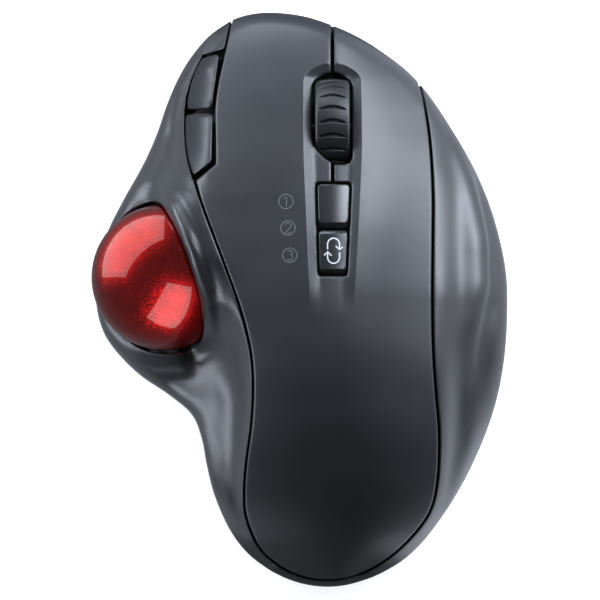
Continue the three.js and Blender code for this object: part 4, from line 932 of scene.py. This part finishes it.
# ---- ball ----
ball_mesh = bpy.data.meshes.new("trackball_visual")
ball_shape = bmesh.new()
bmesh.ops.create_icosphere(ball_shape, subdivisions=6, radius=BALL_R * MM)
ball_shape.to_mesh(ball_mesh)
ball_shape.free()
ball_mesh.polygons.foreach_set("use_smooth", [True] * len(ball_mesh.polygons))
ball_mesh.transform(Matrix.Translation(Vector(BALL) * MM))
ball_mesh.materials.append(FINISHES["ball"])
ball = bpy.data.objects.new("trackball_visual", ball_mesh)
bpy.context.scene.collection.objects.link(ball)
put(ball, "ball", "ball", "trackball")

# ---- scroll wheel ----
WHEEL = np.array([7.5, 39.8, 23.6])
WHEEL_R, WHEEL_HALF, HUB_R = 11.7, 4.0, 9.75
GROOVES = 22
GROOVE_BEND = 2.4  # degrees that a groove's ends lag behind its middle
GROOVE_REACH = 2.95  # sideways from the tread's middle
GROOVE_WIDTH = 1.7  # half width in degrees
GROOVE_DEPTH = 0.55
TREAD_HALF = 3.1
TREAD_FALL = 0.3  # fall of the tread from its middle to its edges
SHOULDER_R = 0.9  # rounding from the tread into the tyre's sides


def tyre():
    """The ribbed rubber tyre, turned round the X axis."""
    shoulder = np.radians(np.linspace(0, 90, 7))
    centre_x, centre_r = WHEEL_HALF - SHOULDER_R, WHEEL_R - TREAD_FALL - SHOULDER_R
    right = [(centre_x + SHOULDER_R * math.sin(a), centre_r + SHOULDER_R * math.cos(a)) for a in shoulder]
    crown = [(x, WHEEL_R - TREAD_FALL * (x / TREAD_HALF) ** 2) for x in np.linspace(-3.0, 3.0, 25)]
    foot = [(WHEEL_HALF - 0.1, HUB_R), (-WHEEL_HALF + 0.1, HUB_R)]
    profile = np.array([(-x, r) for x, r in reversed(right)] + crown + right + foot)
    turns = np.linspace(0, 360, GROOVES * 28, endpoint=False)
    across, radius = np.meshgrid(profile[:, 0], turns)[0], np.tile(profile[:, 1], (len(turns), 1))
    pitch = 360 / GROOVES
    lag = GROOVE_BEND * (across / GROOVE_REACH) ** 2
    phase = (turns[:, None] - lag + pitch / 2) % pitch - pitch / 2
    mask = ramp(GROOVE_REACH + 0.35, GROOVE_REACH - 0.35, np.abs(across))
    width = GROOVE_WIDTH * (1.15 - 0.8 * np.clip(across / GROOVE_REACH, -1, 1) ** 2)
    groove = GROOVE_DEPTH * np.exp(-((phase / width) ** 4)) * mask
    outer = radius > WHEEL_R - 1.0
    radius = radius - np.where(outer, groove, 0)
    angle = np.radians(turns)[:, None]
    vertices = WHEEL + np.stack([across, radius * np.cos(angle), radius * np.sin(angle)], 2)
    rows, columns = across.shape
    faces = []
    for i in range(rows):
        j = (i + 1) % rows
        for k in range(columns):
            n = (k + 1) % columns
            faces.append((i * columns + k, i * columns + n, j * columns + n, j * columns + k))
    return new_object("wheel_tyre_visual", vertices.reshape(-1, 3), faces, FINISHES["wheel_rubber"])


put(tyre(), "wheel", "wheel_rubber", "wheel_tyre")

# ---- camera, floor and lights ----
camera_data = bpy.data.cameras.new("camera")
camera_data.lens = 420
camera_data.sensor_width = 36
camera_data.clip_end = 20
camera = bpy.data.objects.new("camera", camera_data)
camera.location = (0, 0, 1.653)
bpy.context.scene.collection.objects.link(camera)
bpy.context.scene.camera = camera

floor_mesh = bpy.data.meshes.new("floor")
floor_mesh.from_pydata([(-3, -3, 0), (3, -3, 0), (3, 3, 0), (-3, 3, 0)], [], [(0, 1, 2, 3)])
floor = bpy.data.objects.new("floor", floor_mesh)
bpy.context.scene.collection.objects.link(floor)
floor_paint = bpy.data.materials.new("floor_paint")
floor_paint.use_nodes = True
floor_shader = floor_paint.node_tree.nodes["Principled BSDF"]
floor_shader.inputs["Base Color"].default_value = (0.92, 0.92, 0.92, 1)
floor_shader.inputs["Roughness"].default_value = 0.9
floor_shader.inputs["Emission Color"].default_value = (1, 1, 1, 1)
floor_shader.inputs["Emission Strength"].default_value = 0.75
floor_mesh.materials.append(floor_paint)
floor.visible_diffuse = False
floor.visible_glossy = False
floor.visible_shadow = False


AIM = Vector((0, 0, 0.02))
LIGHT_REACH = 1.2  # from the studio lights to the object


def softbox(name, place, aim, width, height, power, colour=(0.89, 0.945, 1.08)):
    """A rectangular light at a place, turned to face its aim."""
    light = bpy.data.lights.new(name, "AREA")
    light.shape = "RECTANGLE"
    light.size, light.size_y, light.energy = width, height, power
    light.color = colour
    obj = bpy.data.objects.new(name, light)
    obj.location = place
    direction = Vector(aim) - Vector(place)
    obj.rotation_euler = direction.to_track_quat("-Z", "Y").to_euler()
    bpy.context.scene.collection.objects.link(obj)
    return obj


def studio_light(name, azimuth, tilt, power, size):
    """A softbox in a direction: azimuth from +X towards +Y, tilt from straight up, in degrees."""
    a, t = math.radians(azimuth), math.radians(tilt)
    way = Vector((math.sin(t) * math.cos(a), math.sin(t) * math.sin(a), math.cos(t)))
    return softbox(name, AIM + way * LIGHT_REACH, AIM, size[0], size[1], power)


def light_only(light, objects, state):
    """The light falls only on these objects (INCLUDE) or on everything else (EXCLUDE)."""
    group = bpy.data.collections.new(light.name + "_group")
    for obj in objects:
        group.objects.link(obj)
    for entry in group.collection_objects:
        entry.light_linking.link_state = state
    light.light_linking.receiver_collection = group


ball_objects = [ball]
STUDIO = [  # name, azimuth, tilt, watts, size
    ("right_low", 25, 82, 12.5, (0.6, 0.35)),
    ("left_low", 188, 82, 7.0, (0.6, 0.3)),
    ("left_front_low", 148, 80, 11.0, (0.6, 0.35)),
    ("front_right", 56, 66, 11.0, (0.55, 0.45)),
    ("front_right_high", 58, 48, 6.3, (0.5, 0.5)),
    ("front_low", 105, 80, 6.5, (0.7, 0.35)),
]
for name, azimuth, tilt, power, size in STUDIO:
    light_only(studio_light(name, azimuth, tilt, power, size), ball_objects, "EXCLUDE")

# The white table lights the steep sides from below; the ball sits in its dark cup and does not see it.
side_buttons = [bpy.data.objects[n] for n in ("forward_button_visual", "back_button_visual")]
for side, ahead, power in ((0.28, 0.18, 1.0), (-0.28, 0, 0.55)):
    glow = softbox("table_glow", (side, ahead, -0.01), (side, ahead, 1), 0.5, 0.55, power)
    light_only(glow, ball_objects + side_buttons, "EXCLUDE")

button_objects = [bpy.data.objects[n] for n in ("dpi_button_visual", "mode_button_visual")]
light_only(studio_light("button_glint", 62, 50, 2.5, (0.25, 0.25)), button_objects, "INCLUDE")
BALL_CENTRE = Vector(BALL) * MM
window_aim = BALL_CENTRE + Vector((0, 0, 0.03))
window_place = window_aim + Vector((-0.22, 0.22, 0))
window = softbox("ball_window", window_place, window_aim, 0.62, 0.42, 1.75, (1, 1, 1))
light_only(window, ball_objects, "INCLUDE")
strip_way = Vector((0.081, -0.293, 0.26))
strip = softbox("ball_strip", BALL_CENTRE + strip_way, BALL_CENTRE, 0.35, 0.58, 1.7, (1, 1, 1))
strip_across = Vector((0.289, -0.053, -0.149)).normalized()  # turns the card askew, as its reflection is
strip_back = strip_way.normalized()
strip_up = strip_back.cross(strip_across).normalized()
strip.rotation_euler = Matrix((strip_across, strip_up, strip_back)).transposed().to_euler()
light_only(strip, ball_objects, "INCLUDE")
world = bpy.data.worlds.new("world")
world.use_nodes = True
world.node_tree.nodes["Background"].inputs["Color"].default_value = (0.86, 0.93, 1.0, 1)
world.node_tree.nodes["Background"].inputs["Strength"].default_value = 0.15
bpy.context.scene.world = world
bpy.context.scene.view_settings.view_transform = "Standard"
